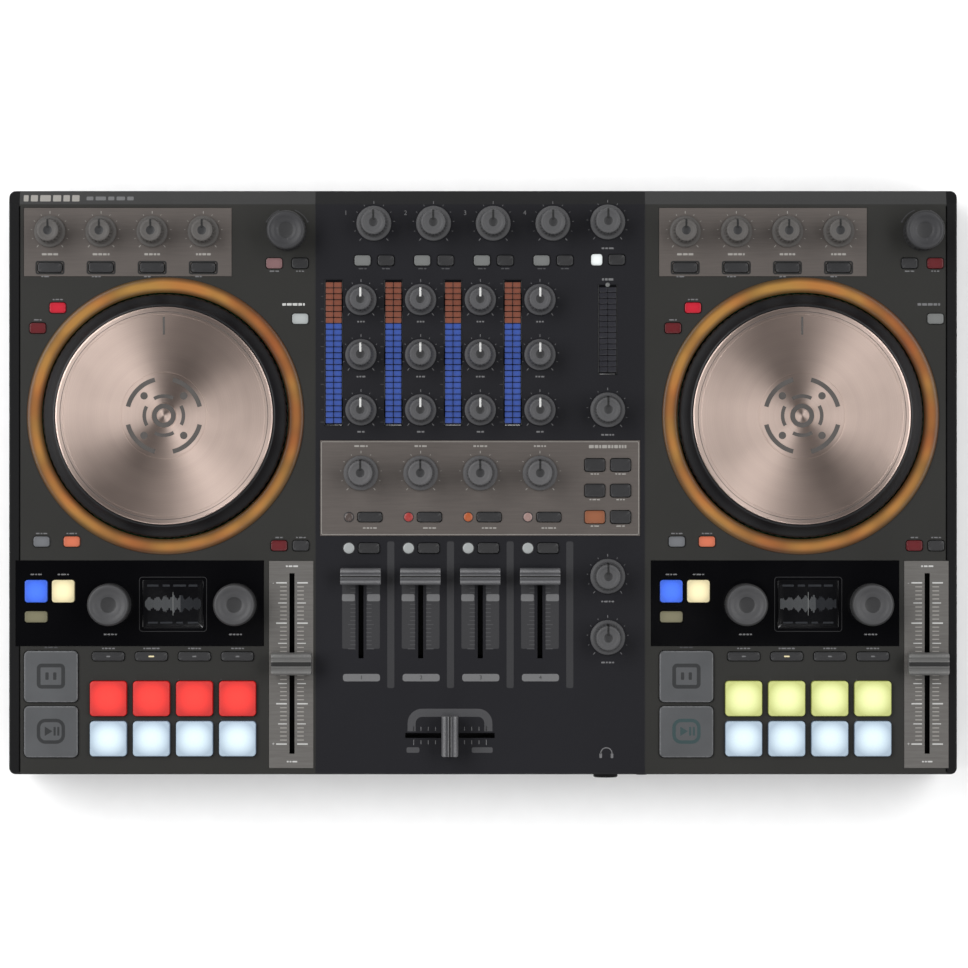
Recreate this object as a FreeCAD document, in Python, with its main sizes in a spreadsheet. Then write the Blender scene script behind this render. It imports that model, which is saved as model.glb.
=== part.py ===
import FreeCAD, Part
import os
import Sketcher
from FreeCAD import Vector, Rotation, Placement

# Four-channel, two-deck DJ controller.
# Frame: millimetres, +Z up, X to the right of the person playing it, Y towards the rear panel.
# The origin is on the table, under the middle of the outline.
# All parts that sit on the playing surface are positioned from the middle of the case;
# everything on a deck is positioned from the centre of that deck's jog wheel.

doc = FreeCAD.newDocument("dj_controller")
sheet = doc.addObject("Spreadsheet::Sheet", "params")
rows = {"next": 1}


class Dim(object):
    """A number together with the spreadsheet expression that gives it."""

    def __init__(self, value, text):
        self.value = float(value)
        self.text = text

    def __add__(self, other):
        other = dim(other)
        return Dim(self.value + other.value, "(%s + %s)" % (self.text, other.text))

    def __radd__(self, other):
        return dim(other) + self

    def __sub__(self, other):
        other = dim(other)
        return Dim(self.value - other.value, "(%s - %s)" % (self.text, other.text))

    def __rsub__(self, other):
        return dim(other) - self

    def __mul__(self, other):
        other = dim(other)
        return Dim(self.value * other.value, "(%s * %s)" % (self.text, other.text))

    def __rmul__(self, other):
        return dim(other) * self

    def __neg__(self):
        return Dim(-self.value, "(0 - %s)" % self.text)


def dim(x):
    return x if isinstance(x, Dim) else Dim(x, "%.6f" % x)


def cell(alias, value):
    """One driving dimension: a plain number in column B under its alias."""
    n = rows["next"]
    rows["next"] = n + 1
    sheet.set("A%d" % n, alias)
    sheet.set("B%d" % n, "%g" % value)
    sheet.setAlias("B%d" % n, alias)
    return Dim(value, "params." + alias)


# ---------------------------------------------------------------- driving dimensions
case_length = cell("case_length", 588.0)
case_depth = cell("case_depth", 362.0)
mid_y = cell("case_middle_y", 1.5)
corner = cell("case_corner_radius", 4.0)
z_floor = cell("base_underside_z", 5.5)
z_split = cell("split_line_z", 20.0)
z_top = cell("playing_surface_z", 54.0)
wall = cell("side_wall", 3.0)
rear_wall = cell("rear_wall", 4.0)
skin = cell("top_thickness", 3.0)
base_skin = cell("base_thickness", 2.5)
bevel_run = cell("rear_bevel_run", 8.0)
bevel_drop = cell("rear_bevel_drop", 3.0)
inlay_depth = cell("inlay_thickness", 0.8)
inlay_gap = cell("inlay_gap", 0.25)

foot_r = cell("foot_radius", 11.0)
foot_sink = cell("foot_recess", 1.0)
boss_r = cell("boss_radius", 4.0)
boss_low = cell("boss_bottom_z", 12.0)

jog_x = cell("jog_centre_x", 197.0)
jog_up = cell("jog_centre_up", 41.3)
well_r = cell("jog_well_radius", 77.0)
ring_r = cell("light_ring_radius", 84.2)
platter_r = cell("platter_radius", 75.5)
plate_r = cell("platter_top_radius", 67.2)
platter_top = cell("platter_top_z", 66.2)
axle_r = cell("axle_radius", 5.0)

board_top = cell("board_top_z", 43.0)
board_thick = cell("board_thickness", 1.6)
pot_side = cell("pot_side", 14.0)
pot_high = cell("pot_height", 7.0)
shaft_r = cell("shaft_radius", 3.0)
shaft_low = cell("shaft_bottom_z", 44.2)
knob_low = cell("knob_bottom_z", 54.7)

column_pitch = cell("channel_pitch", 37.0)
column_first = cell("first_channel_x", -75.7)
gain_shift = cell("gain_shift_x", 8.0)
right_x = cell("right_column_x", 77.3)
pad_pitch_x = cell("pad_pitch_x", 26.7)
pad_pitch_y = cell("pad_pitch_y", 24.9)
fx_pitch = cell("effects_knob_pitch", 31.7)
slot_w = cell("fader_slot_width", 3.2)
short_slot = cell("short_slot_length", 55.5)
long_slot = cell("long_slot_length", 112.0)
button_gap = cell("button_gap", 0.35)
socket_z = cell("socket_centre_z", 34.1)
io_top = cell("io_board_top_z", 27.6)

half_x = case_length * 0.5
front_y = mid_y - case_depth * 0.5
rear_y = mid_y + case_depth * 0.5
io_y = rear_y - cell("socket_recess", 9.0)
jog_y = mid_y + jog_up
under = z_top - skin


# ---------------------------------------------------------------- small modelling helpers
def drive(obj, prop, d):
    """Bind one property of an object to the sheet."""
    obj.setExpression(prop, dim(d).text)


def box(name, length, width, low, height, x=0.0, y=0.0):
    """A block centred on x, y that stands on z = low."""
    b = doc.addObject("Part::Box", name)
    length, width = dim(length), dim(width)
    drive(b, "Length", length)
    drive(b, "Width", width)
    drive(b, "Height", height)
    drive(b, "Placement.Base.x", dim(x) - length * 0.5)
    drive(b, "Placement.Base.y", dim(y) - width * 0.5)
    drive(b, "Placement.Base.z", low)
    return b


def cylinder(name, radius, low, height, x=0.0, y=0.0):
    c = doc.addObject("Part::Cylinder", name)
    drive(c, "Radius", radius)
    drive(c, "Height", height)
    drive(c, "Placement.Base.x", x)
    drive(c, "Placement.Base.y", y)
    drive(c, "Placement.Base.z", low)
    return c


def rod_y(name, radius, y_low, length, x=0.0, z=0.0):
    """A cylinder lying along +Y."""
    c = doc.addObject("Part::Cylinder", name)
    drive(c, "Radius", radius)
    drive(c, "Height", length)
    c.Placement = Placement(Vector(0, 0, 0), Rotation(Vector(1, 0, 0), -90))
    drive(c, "Placement.Base.x", x)
    drive(c, "Placement.Base.y", y_low)
    drive(c, "Placement.Base.z", z)
    return c


def rounded(b, upright, top=None):
    """Round a block's four upright edges, and its top edges if a radius is given."""
    f = doc.addObject("Part::Fillet", b.Name + "_round")
    f.Base = b
    edges = [(n, upright, upright) for n in (1, 3, 5, 7)]
    if top:
        edges += [(n, top, top) for n in (2, 6, 10, 12)]
    f.Edges = edges
    return f


def group(name, parts, x=None, y=None, turn=0.0):
    """Separate solids that belong together; x and y place the whole group."""
    c = doc.addObject("Part::Compound", name)
    c.Links = parts
    if turn:
        c.Placement = Placement(Vector(0, 0, 0), Rotation(Vector(0, 0, 1), turn))
    if x is not None:
        drive(c, "Placement.Base.x", x)
        drive(c, "Placement.Base.y", y)
    return c


def cut(name, base, tool):
    c = doc.addObject("Part::Cut", name)
    c.Base = base
    c.Tool = tool
    return c


def fuse(name, parts):
    c = doc.addObject("Part::MultiFuse", name)
    c.Shapes = parts
    return c


def plane(body, role):
    return [o for o in body.Origin.OriginFeatures if o.Role == role][0]


def polygon_sketch(body, name, role, points):
    """A closed outline whose every corner is tied to the sheet."""
    s = body.newObject("Sketcher::SketchObject", name)
    s.AttachmentSupport = [(plane(body, role), "")]
    s.MapMode = "FlatFace"
    points = [(dim(a), dim(b)) for a, b in points]
    n = len(points)
    for i in range(n):
        (a, b), (c, d) = points[i], points[(i + 1) % n]
        s.addGeometry(
            Part.LineSegment(Vector(a.value, b.value, 0), Vector(c.value, d.value, 0)),
            False,
        )
    for i in range(n):
        s.addConstraint(Sketcher.Constraint("Coincident", i, 2, (i + 1) % n, 1))
    for i, (a, b) in enumerate(points):
        if abs(a.value) < 1e-9:
            s.addConstraint(Sketcher.Constraint("PointOnObject", i, 1, -2))
        else:
            k = s.addConstraint(
                Sketcher.Constraint("DistanceX", -1, 1, i, 1, a.value)
            )
            s.setExpression("Constraints[%d]" % k, a.text)
        if abs(b.value) < 1e-9:
            s.addConstraint(Sketcher.Constraint("PointOnObject", i, 1, -1))
        else:
            k = s.addConstraint(
                Sketcher.Constraint("DistanceY", -1, 1, i, 1, b.value)
            )
            s.setExpression("Constraints[%d]" % k, b.text)
    return s


def turned(name, profile):
    """A part turned about the Z axis from a radius/height outline."""
    body = doc.addObject("PartDesign::Body", name)
    s = polygon_sketch(body, name + "_outline", "XZ_Plane", profile)
    r = body.newObject("PartDesign::Revolution", name + "_turn")
    r.Profile = s
    r.ReferenceAxis = (s, ["V_Axis"])
    r.Angle = 360.0
    s.Visibility = False
    doc.recompute()
    return body


def rectangle(body, name, half_len, y_low, y_high, z):
    s = polygon_sketch(
        body,
        name,
        "XY_Plane",
        [(-half_len, y_low), (half_len, y_low), (half_len, y_high), (-half_len, y_high)],
    )
    s.setExpression("AttachmentOffset.Base.z", dim(z).text)
    return s


def upright_edges(shape):
    found = []
    for i, e in enumerate(shape.Edges):
        a, b = e.Vertexes[0].Point, e.Vertexes[-1].Point
        if abs(a.x - b.x) < 1e-6 and abs(a.y - b.y) < 1e-6 and abs(a.z - b.z) > 1:
            found.append("Edge%d" % (i + 1))
    return found


def edges_at(shape, z, y=None, skip_y=None):
    found = []
    for i, e in enumerate(shape.Edges):
        bb = e.BoundBox
        if abs(bb.ZMin - z) > 1e-6 or abs(bb.ZMax - z) > 1e-6:
            continue
        if y is not None and (abs(bb.YMin - y) > 1e-6 or abs(bb.YMax - y) > 1e-6):
            continue
        if skip_y is not None and bb.YMax > skip_y - 1e-6:
            continue
        found.append("Edge%d" % (i + 1))
    return found


# ---------------------------------------------------------------- buttons: sizes and places
# kind: (length along X, width along Y, height of its face above the playing surface)
BUTTONS = {
    "effect": (cell("effect_button_length", 15.0), cell("effect_button_width", 6.0), 1.2),
    "small": (cell("small_button_length", 10.0), cell("small_button_width", 6.5), 1.2),
    "square": (cell("square_button_length", 14.0), cell("square_button_width", 14.0), 1.0),
    "bar": (cell("bar_button_length", 14.0), cell("bar_button_width", 7.0), 1.0),
    "mode": (cell("mode_button_length", 20.0), cell("mode_button_width", 5.5), 1.2),
    "select": (cell("select_button_length", 12.5), cell("select_button_width", 8.0), 1.2),
    "cue": (cell("cue_button_length", 13.0), cell("cue_button_width", 6.5), 1.2),
    "dot": (cell("dot_button_length", 7.0), cell("dot_button_width", 7.0), 1.2),
    "transport": (cell("transport_length", 33.5), cell("transport_width", 32.0), 1.6),
}
pad_length = cell("pad_length", 22.8)
pad_width = cell("pad_width", 21.8)
pad_rise = cell("pad_rise", 2.6)
cap_low = cell("button_flange_bottom_z", 48.4)
flange_high = cell("button_flange_height", 1.8)
flange_lip = cell("button_flange_lip", 0.8)

deck_x = {"left": -jog_x, "right": jog_x}
channel_x = [column_first + column_pitch * i for i in range(4)]


def fx_x(i):
    return dim(-71.6) + fx_pitch * i


def pad_x(i):
    return dim(4.7) + pad_pitch_x * (i - 1.5)


DECK_BUTTONS = (
    [("effect", fx_x(i), dim(92.0)) for i in range(4)]
    + [("small", dim(67.5), dim(94.7)), ("small", dim(83.5), dim(94.7))]
    + [("small", dim(-66.8), dim(67.1)), ("small", dim(-79.2), dim(54.5))]
    + [("small", dim(83.6), dim(60.3))]
    + [("small", dim(-58.1), dim(-77.9)), ("small", dim(-76.8), dim(-77.9))]
    + [("small", dim(70.5), dim(-80.4)), ("small", dim(84.0), dim(-80.4))]
    + [("square", dim(-80.2), dim(-108.7)), ("square", dim(-63.4), dim(-108.7))]
    + [("bar", dim(-80.2), dim(-124.6))]
    + [("mode", pad_x(i), dim(-149.1)) for i in range(4)]
)
TRANSPORT = [(dim(-70.9), dim(-161.6)), (dim(-70.9), dim(-195.8))]
MIXER_BUTTONS = (
    [("small", channel_x[i] + 1.0, dim(137.7)) for i in range(4)]
    + [("small", channel_x[i] + 15.5, dim(137.7)) for i in range(4)]
    + [("dot", right_x - 6.8, dim(138.2)), ("small", right_x + 5.6, dim(138.2))]
    + [("effect", channel_x[i] + 5.5, dim(-21.4)) for i in range(4)]
    + [("select", dim(x), dim(y)) for y in (10.9, -5.0, -21.4) for x in (69.3, 85.3)]
    + [("cue", channel_x[i] + 5.0, dim(-40.7)) for i in range(4)]
)

caps, holes = {}, {}
for kind, (length, width, rise) in BUTTONS.items():
    face = cell(kind + "_button_rise", rise)
    cap = rounded(
        box(kind + "_cap_block", length, width, cap_low + 0.9, z_top + face - cap_low - 0.9),
        1.6 if kind != "transport" else 3.0,
        0.4,
    )
    flange = box(
        kind + "_flange", length + flange_lip * 2, width + flange_lip * 2, cap_low, flange_high
    )
    caps[kind] = fuse(kind + "_cap", [cap, flange])
    holes[kind] = rounded(
        box(kind + "_hole", length + button_gap * 2, width + button_gap * 2, 46.0, 20.0),
        1.9 if kind != "transport" else 3.3,
    )
pad_cap = rounded(
    box("pad_block", pad_length, pad_width, 49.0, z_top + pad_rise - 49.0), 2.2, 0.7
)
pad_hole = rounded(
    box("pad_hole", pad_length + button_gap * 2, pad_width + button_gap * 2, 46.0, 20.0), 2.5
)

openings = []  # cutters that go through the playing surface
switches = []  # tactile switches under the buttons, soldered to the boards
switch = box("tactile_switch", 6.0, 6.0, board_top, 3.5)

button_parts = {"deck_buttons": [], "transport_buttons": [], "mixer_buttons": []}
pads = {"left": [], "right": []}


def add_button(owner, kind, x, y, tag):
    button_parts[owner].append(group("%s_%s" % (owner[:-1], tag), [caps[kind]], x, y))
    openings.append(group("opening_%s_%s" % (owner[:-1], tag), [holes[kind]], x, y))
    switches.append(group("switch_%s_%s" % (owner[:-1], tag), [switch], x, y))


for side in ("left", "right"):
    for i, (kind, x, y) in enumerate(DECK_BUTTONS):
        add_button("deck_buttons", kind, deck_x[side] + x, jog_y + y, "%s_%d" % (side, i + 1))
    for i, (x, y) in enumerate(TRANSPORT):
        add_button(
            "transport_buttons", "transport", deck_x[side] + x, jog_y + y, "%s_%d" % (side, i + 1)
        )
    for row in range(2):
        for i in range(4):
            x = deck_x[side] + pad_x(i)
            y = jog_y - 175.25 - pad_pitch_y * row
            pads[side].append(group("pad_%s_%d_%d" % (side, row + 1, i + 1), [pad_cap], x, y))
            openings.append(
                group("opening_pad_%s_%d_%d" % (side, row + 1, i + 1), [pad_hole], x, y)
            )
for i, (kind, x, y) in enumerate(MIXER_BUTTONS):
    add_button("mixer_buttons", kind, x, mid_y + y, "%d" % (i + 1))

# ---------------------------------------------------------------- knobs and encoders
bore_r = shaft_r + 0.05


def knob(name, skirt_r, body_r, top_z, pointer=True):
    """A turned cap with a skirt, a blind bore for its shaft and a pointer groove across the top."""
    cap = turned(
        name,
        [
            (bore_r, knob_low),
            (skirt_r, knob_low),
            (skirt_r, knob_low + 1.8),
            (body_r, knob_low + 3.4),
            (body_r - 0.7, top_z - 1.0),
            (body_r - 1.6, top_z),
            (0.0, top_z),
            (0.0, top_z - 3.5),
            (bore_r, top_z - 3.5),
        ],
    )
    if pointer:
        before = cap.Shape.Volume
        s = polygon_sketch(
            cap,
            name + "_pointer",
            "XY_Plane",
            [(-0.6, 1.5), (0.6, 1.5), (0.6, skirt_r), (-0.6, skirt_r)],
        )
        s.setExpression("AttachmentOffset.Base.z", dim(top_z).text)
        p = cap.newObject("PartDesign::Pocket", name + "_pointer_cut")
        p.Profile = s
        p.Length = 0.6
        s.Visibility = False
        doc.recompute()
        if not cap.Shape.Volume < before - 1.0:
            raise RuntimeError(name + ": the pointer groove cut nothing")
    rod = cylinder(name + "_shaft", shaft_r, shaft_low, top_z - 3.6 - shaft_low)
    return [cap, rod]


eq_r = cell("tone_knob_radius", 9.8)
big_r = cell("level_knob_radius", 10.9)
enc_r = cell("encoder_radius", 13.2)
browse_r = cell("browse_encoder_radius", 12.2)
eq_top = cell("tone_knob_top_z", 69.0)
big_top = cell("level_knob_top_z", 70.0)
enc_top = cell("encoder_top_z", 69.5)
browse_top = cell("browse_encoder_top_z", 72.0)

tone_knob = knob("tone_knob_cap", eq_r, eq_r - 2.2, eq_top)
level_knob = knob("level_knob_cap", big_r, big_r - 2.4, big_top)


def encoder(name, radius, top_z):
    """An endless encoder cap with a dished top and no pointer."""
    cap = turned(
        name,
        [
            (bore_r, knob_low),
            (radius, knob_low),
            (radius, top_z - 1.2),
            (radius - 1.2, top_z),
            (radius - 2.6, top_z),
            (radius - 5.0, top_z - 0.7),
            (0.0, top_z - 0.7),
            (0.0, top_z - 3.5),
            (bore_r, top_z - 3.5),
        ],
    )
    rod = cylinder(name + "_shaft", shaft_r, shaft_low, top_z - 3.6 - shaft_low)
    return [cap, rod]


deck_encoder = encoder("deck_encoder_cap", enc_r, enc_top)
browse_encoder = encoder("browse_encoder_cap", browse_r, browse_top)

shaft_hole = cylinder("shaft_hole", cell("shaft_hole_radius", 4.2), 46.0, 20.0)
pot_block = box("pot_block", pot_side, pot_side, board_top, pot_high)
pot_bore = cylinder("pot_bore", shaft_r + 0.35, board_top + 0.8, pot_high)
pot = cut("pot_body", pot_block, pot_bore)
pots = []
nodes = {}


def add_knob(node, parts, x, y):
    nodes[node] = group(node, parts, x, y)
    openings.append(group("opening_" + node, [shaft_hole], x, y))
    pots.append(group("pot_" + node, [pot], x, y))


for i in range(4):
    n = i + 1
    add_knob("gain_knob_%d" % n, level_knob, channel_x[i] + gain_shift, mid_y + 160.7)
    add_knob("high_eq_knob_%d" % n, tone_knob, channel_x[i], mid_y + 113.4)
    add_knob("mid_eq_knob_%d" % n, tone_knob, channel_x[i], mid_y + 79.3)
    add_knob("low_eq_knob_%d" % n, tone_knob, channel_x[i], mid_y + 45.1)
    add_knob("filter_knob_%d" % n, level_knob, channel_x[i], mid_y + 5.9)
add_knob("main_volume_knob", level_knob, right_x, mid_y + 161.5)
add_knob("booth_volume_knob", level_knob, right_x, mid_y + 45.1)
add_knob("cue_mix_knob", level_knob, right_x, mid_y - 58.1)
add_knob("cue_volume_knob", level_knob, right_x, mid_y - 96.0)
for side in ("left", "right"):
    for i in range(4):
        add_knob("effect_knob_%s_%d" % (side, i + 1), tone_knob, deck_x[side] + fx_x(i), jog_y + 114.4)
    add_knob("browse_encoder_" + side, browse_encoder, deck_x[side] + 75.5, jog_y + 114.4)
    add_knob("move_encoder_" + side, deck_encoder, deck_x[side] - 34.2, jog_y - 116.8)
    add_knob("loop_encoder_" + side, deck_encoder, deck_x[side] + 43.5, jog_y - 116.8)

# ---------------------------------------------------------------- faders
cap_bottom = cell("fader_cap_bottom_z", 57.0)
cap_top = cell("fader_cap_top_z", 67.0)


def fader_cap(name, length, depth):
    """A cap with sloping flanks and a V across its top, on a flat steel stem."""
    body = doc.addObject("PartDesign::Body", name)
    h = dim(depth) * 0.5
    s = polygon_sketch(
        body,
        name + "_side",
        "YZ_Plane",
        [
            (-h, cap_bottom),
            (h, cap_bottom),
            (h, cap_top - 4.0),
            (h - 1.3, cap_top),
            (dim(1.3), cap_top),
            (dim(0.5), cap_top - 1.1),
            (dim(-0.5), cap_top - 1.1),
            (dim(-1.3), cap_top),
            (-h + 1.3, cap_top),
            (-h, cap_top - 4.0),
        ],
    )
    p = body.newObject("PartDesign::Pad", name + "_pad")
    p.Profile = s
    p.Midplane = True
    drive(p, "Length", length)
    s.Visibility = False
    doc.recompute()
    stem = box(name + "_stem", 1.6, 5.0, 45.0, cap_bottom - 45.0)
    return [body, stem]


channel_cap = fader_cap("channel_cap", cell("channel_cap_length", 25.0), cell("channel_cap_depth", 10.5))
tempo_cap = fader_cap("tempo_cap", cell("tempo_cap_length", 25.0), cell("tempo_cap_depth", 14.0))


def housing(name, slot_length):
    block = box(name + "_block", 16.0, slot_length + 10.0, board_top, 7.0)
    race = box(name + "_race", 3.6, slot_length, board_top + 1.2, 8.0)
    return cut(name, block, race)


short_housing = housing("short_fader_housing", short_slot)
long_housing = housing("long_fader_housing", long_slot)
short_opening = box("short_slot_cutter", slot_w, short_slot, 46.0, 20.0)
long_opening = box("long_slot_cutter", slot_w, long_slot, 46.0, 20.0)
housings = []
for i in range(4):
    nodes["channel_fader_%d" % (i + 1)] = group(
        "channel_fader_%d" % (i + 1), channel_cap, channel_x[i], mid_y - 58.1
    )
    openings.append(
        group("opening_channel_fader_%d" % (i + 1), [short_opening], channel_x[i], mid_y - 81.3)
    )
    housings.append(
        group("housing_channel_fader_%d" % (i + 1), [short_housing], channel_x[i], mid_y - 81.3)
    )
cross_x, cross_y = cell("crossfader_x", -20.5), mid_y - 156.9
nodes["crossfader"] = group("crossfader", channel_cap, cross_x, cross_y, 90)
openings.append(group("opening_crossfader", [short_opening], cross_x, cross_y, 90))
housings.append(group("housing_crossfader", [short_housing], cross_x, cross_y, 90))
for side in ("left", "right"):
    x, y = deck_x[side] + 78.5, jog_y - 153.5
    nodes["tempo_fader_" + side] = group("tempo_fader_" + side, tempo_cap, x, y)
    openings.append(group("opening_tempo_fader_" + side, [long_opening], x, y))
    housings.append(group("housing_tempo_fader_" + side, [long_housing], x, y))

# ---------------------------------------------------------------- level meters and displays
meter_w, meter_len = cell("meter_width", 11.5), cell("meter_length", 90.8)
main_w, main_len = cell("main_meter_width", 12.0), cell("main_meter_length", 56.0)
glass_w, glass_len = cell("display_length", 38.0), cell("display_width", 30.0)
meters, screens = [], []
for i in range(4):
    x, y = channel_x[i] - 16.9, mid_y + 80.5
    openings.append(box("opening_meter_%d" % (i + 1), meter_w, meter_len, 46.0, 20.0, x, y))
    meters.append(
        box("meter_%d" % (i + 1), meter_w - 0.4, meter_len - 0.4, under, skin + 0.3, x, y)
    )
x, y = right_x, mid_y + 94.8
openings.append(box("opening_main_meter", main_w, main_len, 46.0, 20.0, x, y))
meters.append(box("main_meter", main_w - 0.4, main_len - 0.4, under, skin + 0.3, x, y))
for side in ("left", "right"):
    x, y = deck_x[side] + 4.7, jog_y - 116.8
    openings.append(box("opening_display_" + side, glass_w, glass_len, 46.0, 20.0, x, y))
    screens.append(
        box("display_glass_" + side, glass_w - 0.4, glass_len - 0.4, 50.6, z_top - 50.6, x, y)
    )
    screens.append(box("display_module_" + side, 44.0, 34.0, board_top + 0.2, 7.4, x, y))

# ---------------------------------------------------------------- jog wheels
platter = turned(
    "platter",
    [
        (axle_r + 0.05, 48.0),
        (14.0, 48.0),
        (14.0, 60.0),
        (platter_r - 4.0, 60.0),
        (platter_r - 4.0, 50.6),
        (platter_r, 50.6),
        (platter_r, 57.4),
        (platter_r - 1.2, 58.8),
        (plate_r + 1.3, platter_top - 0.8),
        (plate_r + 0.2, platter_top - 0.8),
        (plate_r + 0.2, platter_top - 1.8),
        (axle_r + 0.05, platter_top - 1.8),
    ],
)
disc = turned(
    "top_plate",
    [
        (0.0, platter_top - 1.75),
        (plate_r, platter_top - 1.75),
        (plate_r, platter_top - 0.5),
        (plate_r - 0.5, platter_top),
        (0.0, platter_top),
    ],
)
axle = cylinder("axle", axle_r, 14.0, platter_top - 1.9 - 14.0)
drive_profile = turned(
    "jog_drive",
    [
        (axle_r + 0.35, 12.0),
        (36.0, 12.0),
        (36.0, 34.0),
        (58.0, 34.0),
        (58.0, 36.0),
        (17.0, 36.0),
        (17.0, 45.0),
        (axle_r + 0.35, 45.0),
    ],
)
ring = turned(
    "light_ring",
    [
        (well_r + 0.2, 52.6),
        (ring_r, 52.6),
        (ring_r, z_top + 0.3),
        (ring_r - 1.6, z_top + 1.5),
        (well_r + 1.6, z_top + 1.5),
        (well_r + 0.2, z_top + 0.7),
    ],
)
well = cylinder("well_cutter", well_r, 46.0, 20.0)
ring_seat = cylinder("ring_seat_cutter", ring_r + 0.3, z_top - 1.5, 10.0)
rings, drives, ring_seats = [], [], []
for side in ("left", "right"):
    nodes["jog_wheel_" + side] = group(
        "jog_wheel_" + side, [platter, disc, axle], deck_x[side], jog_y
    )
    openings.append(group("opening_jog_" + side, [well], deck_x[side], jog_y))
    ring_seats.append(group("ring_seat_" + side, [ring_seat], deck_x[side], jog_y))
    rings.append(group("light_ring_" + side, [ring], deck_x[side], jog_y))
    drives.append(group("jog_drive_" + side, [drive_profile], deck_x[side], jog_y))

# ---------------------------------------------------------------- inlays in the playing surface
# (name, length, width, x, y)
INLAYS = [("mixer", 198.9, 59.7, dim(-1.85), mid_y - 3.45)]
STRIPS = []
for side in ("left", "right"):
    INLAYS.append(("effects_" + side, 129.3, 42.9, deck_x[side] - 23.35, jog_y + 107.85))
    INLAYS.append(("tempo_" + side, 28.0, 129.0, deck_x[side] + 78.0, jog_y - 154.15))
    STRIPS.append(("strip_" + side, 154.2, 53.4, deck_x[side] - 15.9, jog_y - 116.2))

recesses, inlay_blanks, strip_blanks = [], [], []
for items, blanks in ((INLAYS, inlay_blanks), (STRIPS, strip_blanks)):
    for name, length, width, x, y in items:
        recesses.append(box(name + "_recess", length, width, z_top - inlay_depth, 12.0, x, y))
        blanks.append(
            box(
                name + "_blank",
                dim(length) - inlay_gap * 2,
                dim(width) - inlay_gap * 2,
                z_top - inlay_depth,
                inlay_depth,
                x,
                y,
            )
        )
all_openings = group("surface_openings", openings)
nodes["surface_inlays"] = cut(
    "surface_inlays", group("inlay_blanks", inlay_blanks + strip_blanks), all_openings
)

# ---------------------------------------------------------------- sockets
# Each block is made at the origin with its mouth at y = 0, facing +Y.
jack_r = cell("jack_bore_radius", 3.3)
mini_r = cell("mini_jack_bore_radius", 1.8)


def jack(name, bore, side_x, side_z, deep, nut_r, nut_long):
    block = box(name + "_block", side_x, deep, socket_z - side_z * 0.5, side_z, 0.0, dim(deep) * -0.5)
    nut = rod_y(name + "_nut", nut_r, 0.0, nut_long, 0.0, socket_z)
    hole = rod_y(name + "_bore", bore, dim(2.0 - deep), dim(deep + nut_long), 0.0, socket_z)
    return cut(name, fuse(name + "_solid", [block, nut]), hole)


line_jack = jack("line_jack", jack_r, 15.0, 13.0, 22.0, 6.2, 2.0)
phones_jack = jack("phones_jack", jack_r, 15.0, 13.0, 22.0, 7.6, 3.0)
mini_jack = jack("mini_jack", mini_r, 10.0, 9.0, 16.0, 3.9, 1.5)

phono_block = box("phono_block", 13.0, 14.0, io_top, 13.0, 0.0, -7.0)
phono_barrel = rod_y("phono_barrel", cell("phono_barrel_radius", 4.15), -0.5, 9.5, 0.0, socket_z)
phono_flange = rod_y("phono_flange", 5.6, -0.5, 2.0, 0.0, socket_z)
phono_bore = rod_y("phono_bore", 1.7, -3.0, 13.0, 0.0, socket_z)
phono = cut("phono_socket", fuse("phono_solid", [phono_block, phono_flange, phono_barrel]), phono_bore)

usb_shell = cut(
    "usb_shell",
    box("usb_block", 13.0, 16.0, io_top, 12.0, 0.0, -8.0),
    box("usb_cavity", 8.6, 11.0, socket_z - 4.4, 7.9, 0.0, -4.5),
)
usb = fuse("usb_socket", [usb_shell, box("usb_tongue", 5.8, 6.0, socket_z - 2.0, 3.2, 0.0, -8.4)])
power_shell = cut(
    "power_shell",
    box("power_block", 11.0, 14.0, io_top, 11.0, 0.0, -7.0),
    rod_y("power_bore", 2.9, -9.5, 12.0, 0.0, socket_z - 1.0),
)
power_pin = rod_y("power_pin", 1.0, -9.5, 7.5, 0.0, socket_z - 1.0)

REAR = [
    ("power_inlet", [power_shell, power_pin], 262.0, 11.0, 11.0),
    ("usb_port", [usb], 236.0, 13.0, 12.0),
    ("main_jack_left", [line_jack], 205.0, 15.0, 13.0),
    ("main_jack_right", [line_jack], 183.0, 15.0, 13.0),
    ("booth_jack_left", [line_jack], 151.0, 15.0, 13.0),
    ("booth_jack_right", [line_jack], 129.0, 15.0, 13.0),
    ("line_phono_a", [phono], 72.0, 13.0, 13.0),
    ("line_phono_b", [phono], 57.0, 13.0, 13.0),
    ("line_phono_c", [phono], 29.0, 13.0, 13.0),
    ("line_phono_d", [phono], 14.0, 13.0, 13.0),
    ("main_phono_a", [phono], -20.0, 13.0, 13.0),
    ("main_phono_b", [phono], -35.0, 13.0, 13.0),
    ("microphone_jack", [line_jack], -70.0, 15.0, 13.0),
]
sockets, windows = [], []
for name, parts, x, length, high in REAR:
    sockets.append(group(name, parts, x, io_y))
    windows.append(
        box("window_" + name, length + 0.6, 12.0, io_top - 0.3, high + 0.6, x, io_y)
    )
phones_x = cell("phones_socket_x", 76.5)
mini_x = cell("mini_socket_x", 99.0)
sockets.append(group("phones_socket", [phones_jack], phones_x, front_y, 180))
sockets.append(group("mini_phones_socket", [mini_jack], mini_x, front_y, 180))
windows.append(box("window_phones", 15.6, 10.0, socket_z - 6.8, 13.6, phones_x, front_y))
windows.append(box("window_mini_phones", 10.6, 10.0, socket_z - 4.8, 9.6, mini_x, front_y))
windows.append(box("security_slot", 7.0, 14.0, socket_z - 1.5, 3.0, -262.0, rear_y))
nodes["sockets"] = group("sockets", sockets)

# ---------------------------------------------------------------- top case
BOSSES = [
    (-286.5, 174.0),
    (-103.0, 174.0),
    (99.0, 163.0),
    (286.5, 174.0),
    (-286.5, -22.0),
    (-103.0, -15.5),
    (99.0, -15.5),
    (286.5, -22.0),
    (-133.0, -162.0),
    (-75.0, -164.0),
    (60.0, -164.0),
    (261.0, -162.0),
]

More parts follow.
